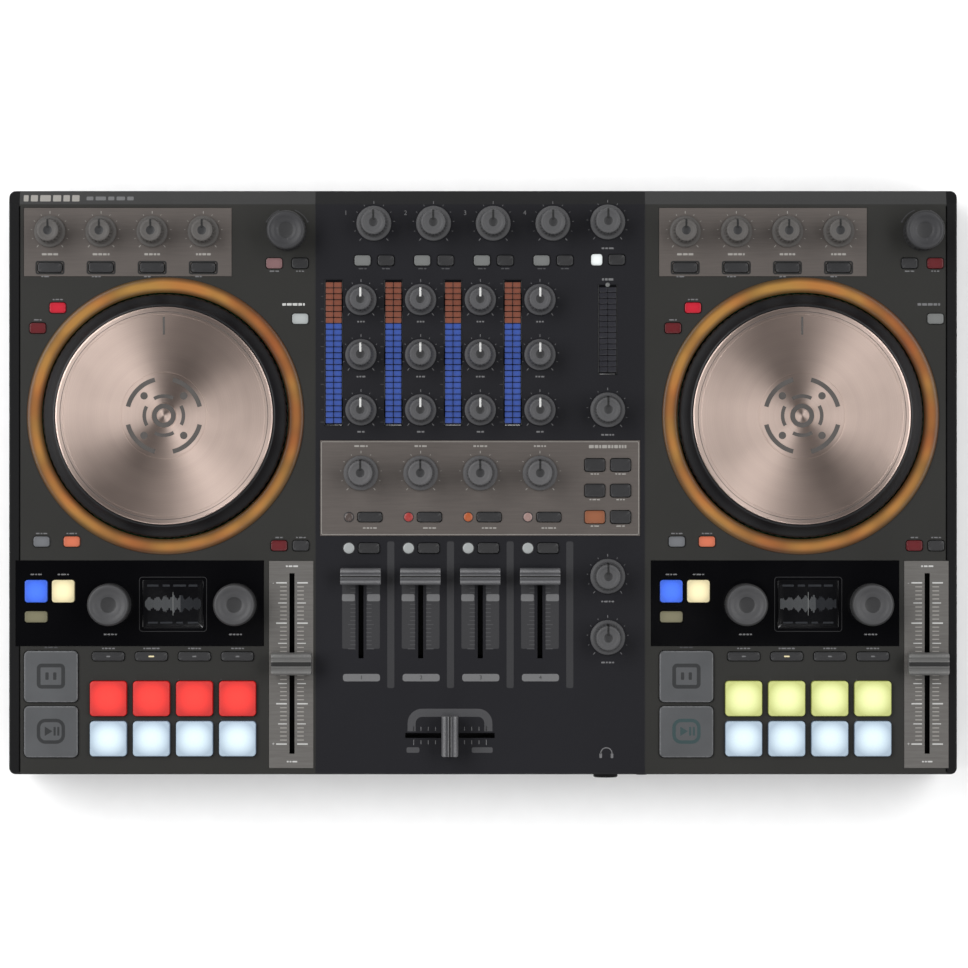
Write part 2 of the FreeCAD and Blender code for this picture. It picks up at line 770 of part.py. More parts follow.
shell = doc.addObject("PartDesign::Body", "top_shell")
s = rectangle(shell, "top_outline", half_x, front_y, rear_y, z_split)
pad = shell.newObject("PartDesign::Pad", "top_block")
pad.Profile = s
drive(pad, "Length", z_top - z_split)
doc.recompute()
f = shell.newObject("PartDesign::Fillet", "top_corners")
f.Base = (pad, upright_edges(pad.Shape))
drive(f, "Radius", corner)
doc.recompute()
e = shell.newObject("PartDesign::Chamfer", "rim_chamfer")
e.Base = (f, edges_at(f.Shape, z_top.value))
e.Size = 1.0
doc.recompute()
before = shell.Shape.Volume
s = polygon_sketch(
    shell,
    "top_hollow_outline",
    "XY_Plane",
    [
        (-half_x + wall, front_y + wall),
        (half_x - wall, front_y + wall),
        (half_x - wall, rear_y - rear_wall),
        (-half_x + wall, rear_y - rear_wall),
    ],
)
s.setExpression("AttachmentOffset.Base.z", z_split.text)
p = shell.newObject("PartDesign::Pocket", "top_hollow")
p.Profile = s
p.Reversed = True
drive(p, "Length", under - z_split)
doc.recompute()
if not shell.Shape.Volume < before * 0.5:
    raise RuntimeError("the top case was not hollowed")

boss_parts = [
    cylinder("boss_%d" % (i + 1), boss_r, boss_low, under + 0.5 - boss_low, x, y)
    for i, (x, y) in enumerate(BOSSES)
]
# the rear sockets stand in a bay under the rear edge, so their barrels end flush with it
bay_block = box("socket_bay_block", 356.0, 11.0, 23.0, 21.0, 96.0, io_y + 2.5)
bay_space = box("socket_bay_space", 350.0, 12.0, 25.5, 16.5, 96.0, io_y + 6.0)
# the top slopes down towards the rear edge
slope = doc.addObject("Part::Box", "rear_slope_tool")
drive(slope, "Length", case_length + 20.0)
slope.Width, slope.Height = 14.0, 8.0
slope.Placement = FreeCAD.Placement(Vector(0, 0, 0), FreeCAD.Rotation(Vector(1, 0, 0), -20.556))
slope.setExpression("Placement.Base.x", (half_x * -1.0 - 10.0).text)
slope.setExpression("Placement.Base.y", (rear_y - bevel_run * 1.125).text)
slope.setExpression("Placement.Base.z", (z_top + bevel_drop * 0.125).text)
top_solid = cut(
    "top_with_bay",
    fuse("top_solid", [shell, bay_block] + boss_parts),
    group("rear_tools", [bay_space, slope]),
)
screw_holes = [
    cylinder("boss_hole_%d" % (i + 1), 1.6, boss_low - 1.0, 12.0, x, y)
    for i, (x, y) in enumerate(BOSSES)
]
# a shadow groove each side divides the playing surface from the side cheeks
grooves = [
    box("cheek_groove_left", 1.0, case_depth - 11.0, z_top - 1.2, 5.0, half_x * -1.0 + 6.6, mid_y - 4.0),
    box("cheek_groove_right", 1.0, case_depth - 11.0, z_top - 1.2, 5.0, half_x - 6.6, mid_y - 4.0),
]
top_cut = cut(
    "top_recessed",
    top_solid,
    group("top_tools", [grooves[1]] + recesses + ring_seats + windows + screw_holes),
)
top_cut_two = cut("top_grooved", top_cut, grooves[0])
nodes["top_case"] = cut("top_case", top_cut_two, all_openings)

# ---------------------------------------------------------------- bottom case
FEET = [(-262.0, 154.5), (0.0, 154.5), (262.0, 154.5), (-262.0, -145.5), (0.0, -145.5), (262.0, -145.5)]
tub = doc.addObject("PartDesign::Body", "bottom_tub")
s = rectangle(tub, "tub_outline", half_x, front_y, rear_y, z_floor)
pad = tub.newObject("PartDesign::Pad", "tub_block")
pad.Profile = s
drive(pad, "Length", z_split - z_floor)
doc.recompute()
f = tub.newObject("PartDesign::Fillet", "tub_corners")
f.Base = (pad, upright_edges(pad.Shape))
drive(f, "Radius", corner)
doc.recompute()
c = tub.newObject("PartDesign::Chamfer", "tub_chamfer")
c.Base = (f, edges_at(f.Shape, z_floor.value))
c.Size = 3.5
doc.recompute()
before = tub.Shape.Volume
s = polygon_sketch(
    tub,
    "tub_hollow_outline",
    "XY_Plane",
    [
        (-half_x + wall, front_y + wall),
        (half_x - wall, front_y + wall),
        (half_x - wall, rear_y - wall),
        (-half_x + wall, rear_y - wall),
    ],
)
s.setExpression("AttachmentOffset.Base.z", z_split.text)
p = tub.newObject("PartDesign::Pocket", "tub_hollow")
p.Profile = s
drive(p, "Length", z_split - z_floor - base_skin)
doc.recompute()
if not tub.Shape.Volume < before * 0.5:
    raise RuntimeError("the bottom case was not hollowed")

posts = [
    cylinder("screw_post_%d" % (i + 1), boss_r + 0.5, z_floor + 1.0, boss_low - z_floor - 1.0, x, y)
    for i, (x, y) in enumerate(BOSSES)
]
for side in ("left", "right"):
    for i, (px, py) in enumerate(((49.0, 0.0), (-24.5, 42.4), (-24.5, -42.4))):
        posts.append(
            cylinder(
                "drive_post_%s_%d" % (side, i + 1),
                5.0,
                z_floor + 1.0,
                dim(34.0) - z_floor - 1.0,
                deck_x[side] + px,
                jog_y + py,
            )
        )
tub_solid = fuse("tub_solid", [tub] + posts)
tub_tools = []
for i, (x, y) in enumerate(BOSSES):
    tub_tools.append(
        fuse(
            "screw_bore_%d" % (i + 1),
            [
                cylinder("counterbore_%d" % (i + 1), 3.2, 4.0, 5.0, x, y),
                cylinder("clearance_%d" % (i + 1), 1.7, 8.5, 8.0, x, y),
            ],
        )
    )
for i, (x, y) in enumerate(FEET):
    tub_tools.append(cylinder("foot_seat_%d" % (i + 1), foot_r + 0.2, 4.0, z_floor + foot_sink - 4.0, x, y))
vent_w, vent_len = cell("vent_width", 3.0), cell("vent_length", 46.0)
for i in range(9):
    for x in (-60.0, 60.0):
        tub_tools.append(
            rounded(box("vent_%d_%d" % (i + 1, 1 if x < 0 else 2), vent_len, vent_w, 3.0, 8.0, x, -40.0 + 9.0 * i), 1.4)
        )
nodes["bottom_case"] = cut("bottom_case", tub_solid, group("tub_tools", tub_tools))

nodes["rubber_feet"] = group(
    "rubber_feet",
    [cylinder("foot_%d" % (i + 1), foot_r, 0.0, z_floor + foot_sink, x, y) for i, (x, y) in enumerate(FEET)],
)
screw = turned(
    "case_screw",
    [
        (0.0, 18.0),
        (0.0, 7.6),
        (1.2, 6.8),
        (2.4, 6.4),
        (2.8, 7.0),
        (2.8, 9.0),
        (1.5, 9.0),
        (1.5, 17.2),
        (1.0, 18.0),
    ],
)
nodes["case_screws"] = group(
    "case_screws", [group("case_screw_%d" % (i + 1), [screw], x, y) for i, (x, y) in enumerate(BOSSES)]
)

# ---------------------------------------------------------------- electronics
deck_board_len, deck_board_w = cell("deck_board_length", 172.0), cell("deck_board_width", 340.0)
boards = [
    box("mixer_board_blank", 188.0, 340.0, board_top - board_thick, board_thick, -2.0, -1.5),
    box("io_board_blank", 550.0, 44.0, io_top - board_thick, board_thick, 0.0, 147.5),
]
for side in ("left", "right"):
    boards.append(
        cut(
            "deck_board_" + side,
            box(
                "deck_board_blank_" + side,
                deck_board_len,
                deck_board_w,
                board_top - board_thick,
                board_thick,
                deck_x[side] + 2.0,
                -1.5,
            ),
            cylinder("drive_clearance_" + side, 64.0, 38.0, 10.0, deck_x[side], jog_y),
        )
    )
boss_clearances = group(
    "boss_clearances",
    [cylinder("boss_clearance_%d" % (i + 1), boss_r + 0.8, 20.0, 30.0, x, y) for i, (x, y) in enumerate(BOSSES)],
)
nodes["circuit_boards"] = group(
    "circuit_boards", [cut("boards", group("board_blanks", boards), boss_clearances)] + switches
)
nodes["potentiometer_bodies"] = group("potentiometer_bodies", pots + housings)
nodes["jog_drives"] = group("jog_drives", drives)
nodes["jog_light_rings"] = group("jog_light_rings", rings)
nodes["meters_and_displays"] = group("meters_and_displays", meters + screens)

# ---------------------------------------------------------------- button groups
nodes["push_buttons"] = group(
    "push_buttons", [p for parts in button_parts.values() for p in parts]
)
pad_parts = []
for side in ("left", "right"):
    mat = box(
        "pad_mat_" + side,
        pad_pitch_x * 3 + pad_length + 2.0,
        pad_pitch_y + pad_width + 2.0,
        47.5,
        1.5,
        deck_x[side] + 4.7,
        jog_y - 175.25 - pad_pitch_y * 0.5,
    )
    pad_parts += pads[side] + [mat]
nodes["performance_pads"] = group("performance_pads", pad_parts)

# ---------------------------------------------------------------- recompute, check and write
doc.recompute()
bad = [o.Name for o in doc.Objects if "Invalid" in o.State or "Error" in o.State]
if bad:
    raise RuntimeError("failed objects: %s" % bad)
os.makedirs("parts", exist_ok=True)
wanted = set()
for name, obj in nodes.items():
    obj.Label = name
    shape = obj.Shape
    if shape.isNull() or not shape.isValid() or not shape.Solids:
        raise RuntimeError("%s has no valid solid" % name)
    wanted.add(name + ".step")
for old in os.listdir("parts"):
    if old.endswith(".step") and old not in wanted:
        os.remove(os.path.join("parts", old))
for name, obj in sorted(nodes.items()):
    obj.Shape.exportStep("parts/%s.step" % name)
total = Part.makeCompound([o.Shape for o in nodes.values()]).BoundBox
print("nodes", len(nodes), "solids", sum(len(o.Shape.Solids) for o in nodes.values()))
print(
    "box x %.2f..%.2f  y %.2f..%.2f  z %.2f..%.2f"
    % (total.XMin, total.XMax, total.YMin, total.YMax, total.ZMin, total.ZMax)
)
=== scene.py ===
import bpy
import math
import random
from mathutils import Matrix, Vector


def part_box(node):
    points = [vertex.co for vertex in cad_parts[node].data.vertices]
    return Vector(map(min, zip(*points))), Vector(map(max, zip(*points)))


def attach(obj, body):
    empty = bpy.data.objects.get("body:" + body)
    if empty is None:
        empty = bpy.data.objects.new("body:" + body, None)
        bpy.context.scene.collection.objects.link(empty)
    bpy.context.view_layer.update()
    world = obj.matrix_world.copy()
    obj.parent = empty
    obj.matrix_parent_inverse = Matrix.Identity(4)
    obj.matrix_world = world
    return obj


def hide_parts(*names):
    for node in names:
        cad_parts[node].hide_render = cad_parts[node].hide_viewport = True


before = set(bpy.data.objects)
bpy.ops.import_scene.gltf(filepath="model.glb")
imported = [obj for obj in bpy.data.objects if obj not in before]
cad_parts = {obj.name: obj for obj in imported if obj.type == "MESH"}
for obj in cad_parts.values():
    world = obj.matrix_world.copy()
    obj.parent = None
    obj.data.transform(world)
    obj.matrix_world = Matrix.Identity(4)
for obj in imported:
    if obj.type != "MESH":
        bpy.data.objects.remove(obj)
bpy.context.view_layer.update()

random.seed(7)
M = 0.001
TAU = math.tau

# Places are in millimetres in the row frame, as the CAD has them.
JOG_Y = 42.8
MID_Y = 1.5
EDGE = 182.5
REAR = 173.5
FRONT = -179.5
TOP = 54.0
DECKS = {"left": -197.0, "right": 197.0}
COLS = [-75.7 + 37.0 * i for i in range(4)]
RIGHT = 77.3
SOCKET_Z = 34.1


def node_centre(name):
    lo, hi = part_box(name)
    return ((lo.x + hi.x) / 2 / M, (lo.y + hi.y) / 2 / M)


# ------------------------------------------------------------------ meshes
class Mesh:
    """Collects faces in millimetres. Each vertex also keeps a place on its own cap, from -1 to 1."""

    def __init__(self):
        self.v, self.c, self.f, self.m = [], [], [], []

    def add(self, verts, faces, mat=0, caps=None):
        n = len(self.v)
        self.v += [tuple(p) for p in verts]
        self.c += caps if caps else [(0.0, 0.0, 0.0)] * len(verts)
        self.f += [tuple(i + n for i in f) for f in faces]
        self.m += mat if isinstance(mat, list) else [mat] * len(faces)

    def stack(self, loops, mats, low=True, high=True, caps=None, centre=None):
        """Joins loops of equal length from first to last, and closes the ends."""
        k = len(loops[0])
        verts, faces, fm, cc = [], [], [], []
        for j, loop in enumerate(loops):
            verts += loop
            if caps:
                cc += caps[j]
        for j in range(len(loops) - 1):
            a, b = j * k, (j + 1) * k
            mm = mats[j] if isinstance(mats, list) else mats
            for i in range(k):
                n = (i + 1) % k
                faces.append((a + i, a + n, b + n, b + i))
                fm.append(mm)
        first = mats[0] if isinstance(mats, list) else mats
        last = mats[-1] if isinstance(mats, list) else mats
        for on, base, flip, mm in ((low, 0, True, first), (high, (len(loops) - 1) * k, False, last)):
            if not on:
                continue
            ring = [base + i for i in range(k)]
            pts = [verts[i] for i in ring]
            mid = tuple(sum(p[q] for p in pts) / k for q in range(3))
            verts.append(mid)
            if caps:
                cp = [cc[i] for i in ring]
                cc.append(tuple(sum(p[q] for p in cp) / k for q in range(3)))
            m = len(verts) - 1
            for i in range(k):
                n = (i + 1) % k
                faces.append((ring[n], ring[i], m) if flip else (ring[i], ring[n], m))
                fm.append(mm)
        self.add(verts, faces, fm, cc if caps else None)

    def lathe(self, cx, cy, profile, seg=96, shape=None, mats=0, low=True, high=True, closed=False, spin=0.0):
        """profile is a list of (r, z), outside face from the bottom up. shape(angle, r, z) changes r."""
        loops = []
        for r, z in profile:
            loop = []
            for i in range(seg):
                t = TAU * i / seg + spin
                q = shape(t, r, z) if shape else r
                loop.append((cx + q * math.cos(t), cy + q * math.sin(t), z))
            loops.append(loop)
        if closed:
            loops.append(loops[0])
            self.stack(loops, mats, False, False)
        else:
            self.stack(loops, mats, low, high)

    def prism(self, pts, z0, z1, mat=0):
        """A flat closed shape: pts is a convex outline, counter-clockwise."""
        k = len(pts)
        verts = [(x, y, z0) for x, y in pts] + [(x, y, z1) for x, y in pts]
        faces = [tuple(range(k - 1, -1, -1)), tuple(range(k, 2 * k))]
        faces += [(i, (i + 1) % k, k + (i + 1) % k, k + i) for i in range(k)]
        self.add(verts, faces, mat)

    def build(self, name, mats, body, slot=None, smooth=35.0, at=(0.0, 0.0), replaces=(), place=None):
        me = bpy.data.meshes.new(name)
        me.from_pydata([((x - at[0]) * M, (y - at[1]) * M, z * M) for x, y, z in self.v], [], self.f)
        for m in mats:
            me.materials.append(m)
        me.polygons.foreach_set("material_index", self.m)
        a = me.attributes.new("cap", "FLOAT_VECTOR", "POINT")
        a.data.foreach_set("vector", [q for c in self.c for q in c])
        me.validate()
        me.shade_smooth()
        me.set_sharp_from_angle(angle=math.radians(smooth))
        o = bpy.data.objects.new(name, me)
        spot = place or at
        o.location = (spot[0] * M, spot[1] * M, 0.0)
        bpy.context.scene.collection.objects.link(o)
        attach(o, body)
        if replaces:
            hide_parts(*replaces)
        return o


def round_rect(w, d, r, n=5, cx=0.0, cy=0.0, side=0):
    """side is how many points each straight side has between its corners."""
    r = max(min(r, w / 2 - 1e-3, d / 2 - 1e-3), 0.01)
    corners = []
    for qx, qy, a0 in ((1, 1, 0), (-1, 1, 90), (-1, -1, 180), (1, -1, 270)):
        corner = []
        for i in range(n + 1):
            a = math.radians(a0 + 90.0 * i / n)
            corner.append((cx + qx * (w / 2 - r) + r * math.cos(a), cy + qy * (d / 2 - r) + r * math.sin(a)))
        corners.append(corner)
    pts = []
    for i, corner in enumerate(corners):
        pts += corner
        a, b = corner[-1], corners[(i + 1) % 4][0]
        for k in range(1, side + 1):
            f = k / (side + 1)
            pts.append((a[0] + (b[0] - a[0]) * f, a[1] + (b[1] - a[1]) * f))
    return pts


def dished(x, y, w, d, depth):
    """How far a dished top lies below its edge, w and d being the size of the dished part."""
    u, v = min(abs(2 * x / w), 1.0), min(abs(2 * y / d), 1.0)
    return depth * (1 - u ** 2.4) * (1 - v ** 2.4)


def cap(mesh, cx, cy, w, d, r, z0, z1, edge=0.5, mat=0, top=None, crown=0.0, steps=4, n=6, dish=0.0):
    """A rounded cap: upright sides, a rolled top edge, and a top that is crowned or dished."""
    top = mat if top is None else top
    loops, caps, mats = [], [], []
    side = 9 if dish else 0

    def loop(inset, z):
        pts = round_rect(w - 2 * inset, d - 2 * inset, max(r - inset * 0.7, 0.15), n, 0.0, 0.0, side)
        loops.append([(cx + x, cy + y, z - (dished(x, y, w - 2 * edge, d - 2 * edge, dish) if dish and inset >= edge else 0.0)) for x, y in pts])
        caps.append([(2 * x / w, 2 * y / d, (z - z0) / max(z1 - z0, 1e-6)) for x, y in pts])

    loop(0.0, z0)
    loop(0.0, z1 - edge)
    mats.append(mat)
    for i in range(1, steps + 1):
        a = math.pi / 2 * i / steps
        loop(edge * (1 - math.cos(a)), z1 - edge + edge * math.sin(a))
        mats.append(top if i > 1 else mat)
    inner = min(w, d) / 2
    if dish:
        rim = round_rect(w - 2 * edge, d - 2 * edge, max(r - edge * 0.7, 0.15), n, 0.0, 0.0, side)
        for f in (0.05, 0.12, 0.2, 0.3, 0.42, 0.56, 0.7, 0.84, 0.94):
            pts = [(x * (1 - f), y * (1 - f)) for x, y in rim]
            loops.append([(cx + x, cy + y, z1 + crown * (1 - (1 - f) ** 2) - dished(x, y, w - 2 * edge, d - 2 * edge, dish)) for x, y in pts])
            caps.append([(2 * x / w, 2 * y / d, 1.0) for x, y in pts])
            mats.append(top)
    for f in () if dish else (0.25, 0.5, 0.75, 0.95):
        loop(edge + (inner - edge) * f, z1 + crown * (1 - (1 - f) ** 2))
        mats.append(top)
    mesh.stack(loops, mats, True, True, caps)


# ------------------------------------------------------------------ materials
def srgb(r, g, b):
    return tuple(((c / 255.0) / 12.92 if c / 255.0 <= 0.04045 else ((c / 255.0 + 0.055) / 1.055) ** 2.4) for c in (r, g, b)) + (1.0,)


def rgba(c):
    return tuple(c) + (1.0,) if len(c) == 3 else tuple(c)


class Mat:
    """A node material with a few shorthands."""

    def __init__(self, name):
        self.m = bpy.data.materials.new(name)
        self.m.use_nodes = True
        self.t = self.m.node_tree
        self.p = self.t.nodes["Principled BSDF"]
        self.obj = None

    def node(self, kind, **kw):
        n = self.t.nodes.new(kind)
        for k, v in kw.items():
            setattr(n, k, v)
        return n

    def link(self, a, b):
        self.t.links.new(a, b)

    def coords(self):
        if self.obj is None:
            self.obj = self.node("ShaderNodeTexCoord").outputs["Object"]
        return self.obj

    def xyz(self):
        s = self.node("ShaderNodeSeparateXYZ")
        self.link(self.coords(), s.inputs[0])
        return s.outputs

    def noise(self, scale, detail=2.0, rough=0.5, vector=None, stretch=None):
        n = self.node("ShaderNodeTexNoise")
        n.inputs["Scale"].default_value = scale
        n.inputs["Detail"].default_value = detail
        n.inputs["Roughness"].default_value = rough
        v = vector if vector is not None else self.coords()
        if stretch:
            mp = self.node("ShaderNodeMapping")
            mp.inputs["Scale"].default_value = stretch
            self.link(v, mp.inputs["Vector"])
            v = mp.outputs["Vector"]
        self.link(v, n.inputs["Vector"])
        return n.outputs["Fac"]

    def math(self, op, a, b=None, c=None):
        n = self.node("ShaderNodeMath", operation=op)
        for i, v in enumerate((a, b, c)):
            if v is None:
                continue
            if isinstance(v, (int, float)):
                n.inputs[i].default_value = v
            else:
                self.link(v, n.inputs[i])
        return n.outputs[0]

    def ranged(self, v, a, b, c, d, smooth=False):
        n = self.node("ShaderNodeMapRange")
        if smooth:
            n.interpolation_type = "SMOOTHSTEP"
        n.inputs["From Min"].default_value = a
        n.inputs["From Max"].default_value = b
        n.inputs["To Min"].default_value = c
        n.inputs["To Max"].default_value = d
        self.link(v, n.inputs["Value"])
        return n.outputs["Result"]

    def mix(self, fac, a, b, blend="MIX"):
        n = self.node("ShaderNodeMix", data_type="RGBA", blend_type=blend)
        for s, v in ((n.inputs["Factor"], fac), (n.inputs["A"] if False else n.inputs[6], a), (n.inputs[7], b)):
            if isinstance(v, (int, float)):
                s.default_value = v
            elif isinstance(v, (tuple, list)):
                s.default_value = rgba(v)
            else:
                self.link(v, s)
        return n.outputs[2]

    def bump(self, height, strength=0.3, distance=0.0001, under=None):
        n = self.node("ShaderNodeBump")
        n.inputs["Strength"].default_value = strength
        n.inputs["Distance"].default_value = distance
        self.link(height, n.inputs["Height"])
        if under is not None:
            self.link(under, n.inputs["Normal"])
        return n.outputs["Normal"]

    def set(self, name, v):
        s = self.p.inputs[name]
        if isinstance(v, (int, float)):
            s.default_value = v
        elif isinstance(v, (tuple, list)):
            s.default_value = rgba(v) if len(s.default_value) == 4 else v
        else:
            self.link(v, s)
        return self

    def edge_wear_and_highlight(self, colour, edge, amount=0.5):
        """Lightens raised edges a little, broken up by noise: partly wear, partly a painted highlight on the edges."""
        g = self.node("ShaderNodeNewGeometry").outputs["Pointiness"]
        f = self.math("MULTIPLY", self.ranged(g, 0.52, 0.6, 0.0, amount), self.ranged(self.noise(900), 0.35, 0.65, 0.3, 1.0))
        return self.mix(f, colour, edge)


def plastic(name, colour, rough=0.5, spec=0.4, grain=2600.0, depth=0.3, vary=0.12, edge=None, coat=0.0, metallic=0.0, rim=None):
    """Moulded plastic: fine grain, slow tone change, uneven gloss, and raised edges lightened partly by wear and partly
    by a painted highlight. rim is such a lightened band that follows a cap's own outline.
    """
    m = Mat(name)
    fine = m.noise(grain, 3.0, 0.6)
    slow = m.noise(38.0, 3.0, 0.5)
    c = rgba(colour)
    dark = tuple(q * (1 - vary) for q in c[:3])
    light = tuple(min(q * (1 + vary), 1.0) for q in c[:3])
    col = m.mix(m.ranged(slow, 0.3, 0.7, 0.0, 1.0), dark, light)
    col = m.mix(m.ranged(fine, 0.3, 0.7, 0.0, 0.25), col, dark)
    if edge:
        # raised edges lightened: partly wear, partly a painted highlight on the edges
        col = m.edge_wear_and_highlight(col, edge)
    if rim:
        # a lighter band along the cap's outline: partly wear, partly a painted highlight on the edge
        a = m.node("ShaderNodeAttribute", attribute_name="cap", attribute_type="GEOMETRY").outputs["Vector"]
        q = m.node("ShaderNodeSeparateXYZ")
        m.link(a, q.inputs[0])
        far = m.math("MAXIMUM", m.math("ABSOLUTE", q.outputs[0]), m.math("ABSOLUTE", q.outputs[1]))
        edge_band_wear_and_highlight = m.math("MULTIPLY", m.ranged(far, 0.925, 0.985, 0.0, 0.55, smooth=True), m.ranged(m.noise(700), 0.35, 0.65, 0.35, 1.0))
        col = m.mix(edge_band_wear_and_highlight, col, rim)
    m.set("Base Color", col)
    m.set("Roughness", m.math("ADD", m.ranged(fine, 0.3, 0.7, rough - 0.05, rough + 0.06), m.ranged(slow, 0.3, 0.7, -0.03, 0.04)))
    m.set("Specular IOR Level", spec)
    m.set("Metallic", metallic)
    if coat:
        m.set("Coat Weight", coat)
        m.set("Coat Roughness", 0.12)
    m.set("Normal", m.bump(fine, depth, 0.00006))
    return m


def metal(name, colour, rough=0.28, brush=None, spec=0.5):
    m = Mat(name)
    fine = m.noise(1800.0, 3.0, 0.6, stretch=brush)
    slow = m.noise(60.0, 2.0)
    c = rgba(colour)
    col = m.mix(m.ranged(fine, 0.25, 0.75, 0.0, 1.0), tuple(q * 0.86 for q in c[:3]), tuple(min(q * 1.08, 1) for q in c[:3]))
    m.set("Base Color", col)
    m.set("Metallic", 1.0)
    m.set("Roughness", m.math("ADD", m.ranged(fine, 0.3, 0.7, rough - 0.06, rough + 0.06), m.ranged(slow, 0.3, 0.7, -0.03, 0.05)))
    m.set("Normal", m.bump(fine, 0.12, 0.00003))
    return m


def lit(name, colour, strength=1.0, base=None, falloff=0.35, rough=0.35, power=3.0, side=0.55, low=0.0, rim=None):
    """A translucent cap lit from below: brightest in the middle, dimmer at its rim and down its sides."""
    m = Mat(name)
    a = m.node("ShaderNodeAttribute", attribute_name="cap", attribute_type="GEOMETRY").outputs["Vector"]
    s = m.node("ShaderNodeSeparateXYZ")
    m.link(a, s.inputs[0])
    x = m.math("POWER", m.math("ABSOLUTE", s.outputs[0]), power)
    y = m.math("POWER", m.math("ABSOLUTE", s.outputs[1]), power)
    f = m.math("MINIMUM", m.math("ADD", x, y), 1.0)
    grain = m.noise(900.0, 3.0, 0.6)
    glow = m.math("SUBTRACT", 1.0, m.math("MULTIPLY", f, falloff))
    if low:
        glow = m.math("MULTIPLY", glow, m.ranged(s.outputs[1], -1.0, 0.3, 1.0 - low, 1.0, smooth=True))
    glow = m.math("MULTIPLY", glow, m.ranged(s.outputs[2], 0.55, 1.0, side, 1.0))
    glow = m.math("MULTIPLY", glow, m.ranged(grain, 0.3, 0.7, 0.95, 1.04))
    c = rgba(colour)
    m.set("Base Color", m.mix(m.ranged(grain, 0.3, 0.7, 0.0, 0.3), base if base else tuple(q * 0.35 for q in c[:3]), tuple(q * 0.2 for q in c[:3])))
    col = m.mix(m.math("MULTIPLY", f, 0.9 if rim else 0.7), c, rim if rim else tuple(q * 0.72 for q in c[:3]))
    m.set("Emission Color", m.mix(glow, (0.0, 0.0, 0.0), col))
    m.set("Emission Strength", strength)
    m.set("Roughness", m.ranged(grain, 0.3, 0.7, rough - 0.05, rough + 0.08))
    m.set("Specular IOR Level", 0.3)
    m.set("Normal", m.bump(grain, 0.12, 0.00004))
    return m


def ink(name, colour, rough=0.6):
    m = Mat(name)
    n = m.noise(1500.0, 3.0, 0.6)
    c = rgba(colour)
    m.set("Base Color", m.mix(m.ranged(n, 0.35, 0.7, 0.0, 0.35), c, tuple(q * 0.8 for q in c[:3])))
    m.set("Roughness", m.ranged(n, 0.3, 0.7, rough - 0.08, rough + 0.08))
    m.set("Specular IOR Level", 0.3)
    m.set("Normal", m.bump(n, 0.1, 0.00003))
    return m


def panel_material():
    """The playing surface: charcoal decks, a cooler mixer section, black cheeks and a rear slope painted paler, a
    painted highlight for the light the slope catches.
    """
    m = Mat("panel_plastic")
    x, y, z = m.xyz()
    fine = m.noise(3200.0, 4.0, 0.65)
    mid = m.noise(420.0, 3.0, 0.5)
    slow = m.noise(16.0, 3.0, 0.5)
    deck = m.mix(m.ranged(slow, 0.3, 0.7, 0.0, 1.0), PANEL_DECK, tuple(q * 1.16 for q in PANEL_DECK))
    mixer = m.mix(m.ranged(slow, 0.3, 0.7, 0.0, 1.0), PANEL_MIXER, tuple(q * 1.14 for q in PANEL_MIXER))
    inside = m.math("MULTIPLY", m.math("GREATER_THAN", x, -0.1040), m.math("LESS_THAN", x, 0.1005))
    col = m.mix(inside, deck, mixer)
    # the rear slope painted lighter than the top: a painted highlight for the light it catches, less over the mixer
    rear = m.ranged(y, 0.1738, 0.1744, 0.0, 1.0)
    col = m.mix(rear, col, m.mix(inside, PANEL_REAR_SLOPE_PAINTED_LIGHT, PANEL_REAR_SLOPE_MIXER_PAINTED_LIGHT))
    side = m.math("GREATER_THAN", m.math("ABSOLUTE", x), 0.2874)
    wall = m.ranged(z, 0.0520, 0.0532, 1.0, 0.0)
    black = m.math("MAXIMUM", side, m.math("MULTIPLY", wall, m.math("SUBTRACT", 1.0, rear)))
    low = m.ranged(z, 0.0495, 0.0500, 1.0, 0.0)
    black = m.math("MAXIMUM", black, low)
    col = m.mix(black, col, (0.0030, 0.0030, 0.0034))
    col = m.mix(m.ranged(fine, 0.35, 0.7, 0.0, 0.22), col, (0.002, 0.002, 0.002))
    m.set("Base Color", col)
    m.set("Roughness", m.math("ADD", m.ranged(fine, 0.3, 0.7, 0.50, 0.60), m.ranged(mid, 0.3, 0.7, -0.03, 0.04)))
    m.set("Specular IOR Level", 0.12)
    b = m.bump(fine, 0.35, 0.00006)
    m.set("Normal", m.bump(mid, 0.08, 0.0002, under=b))
    return m.m


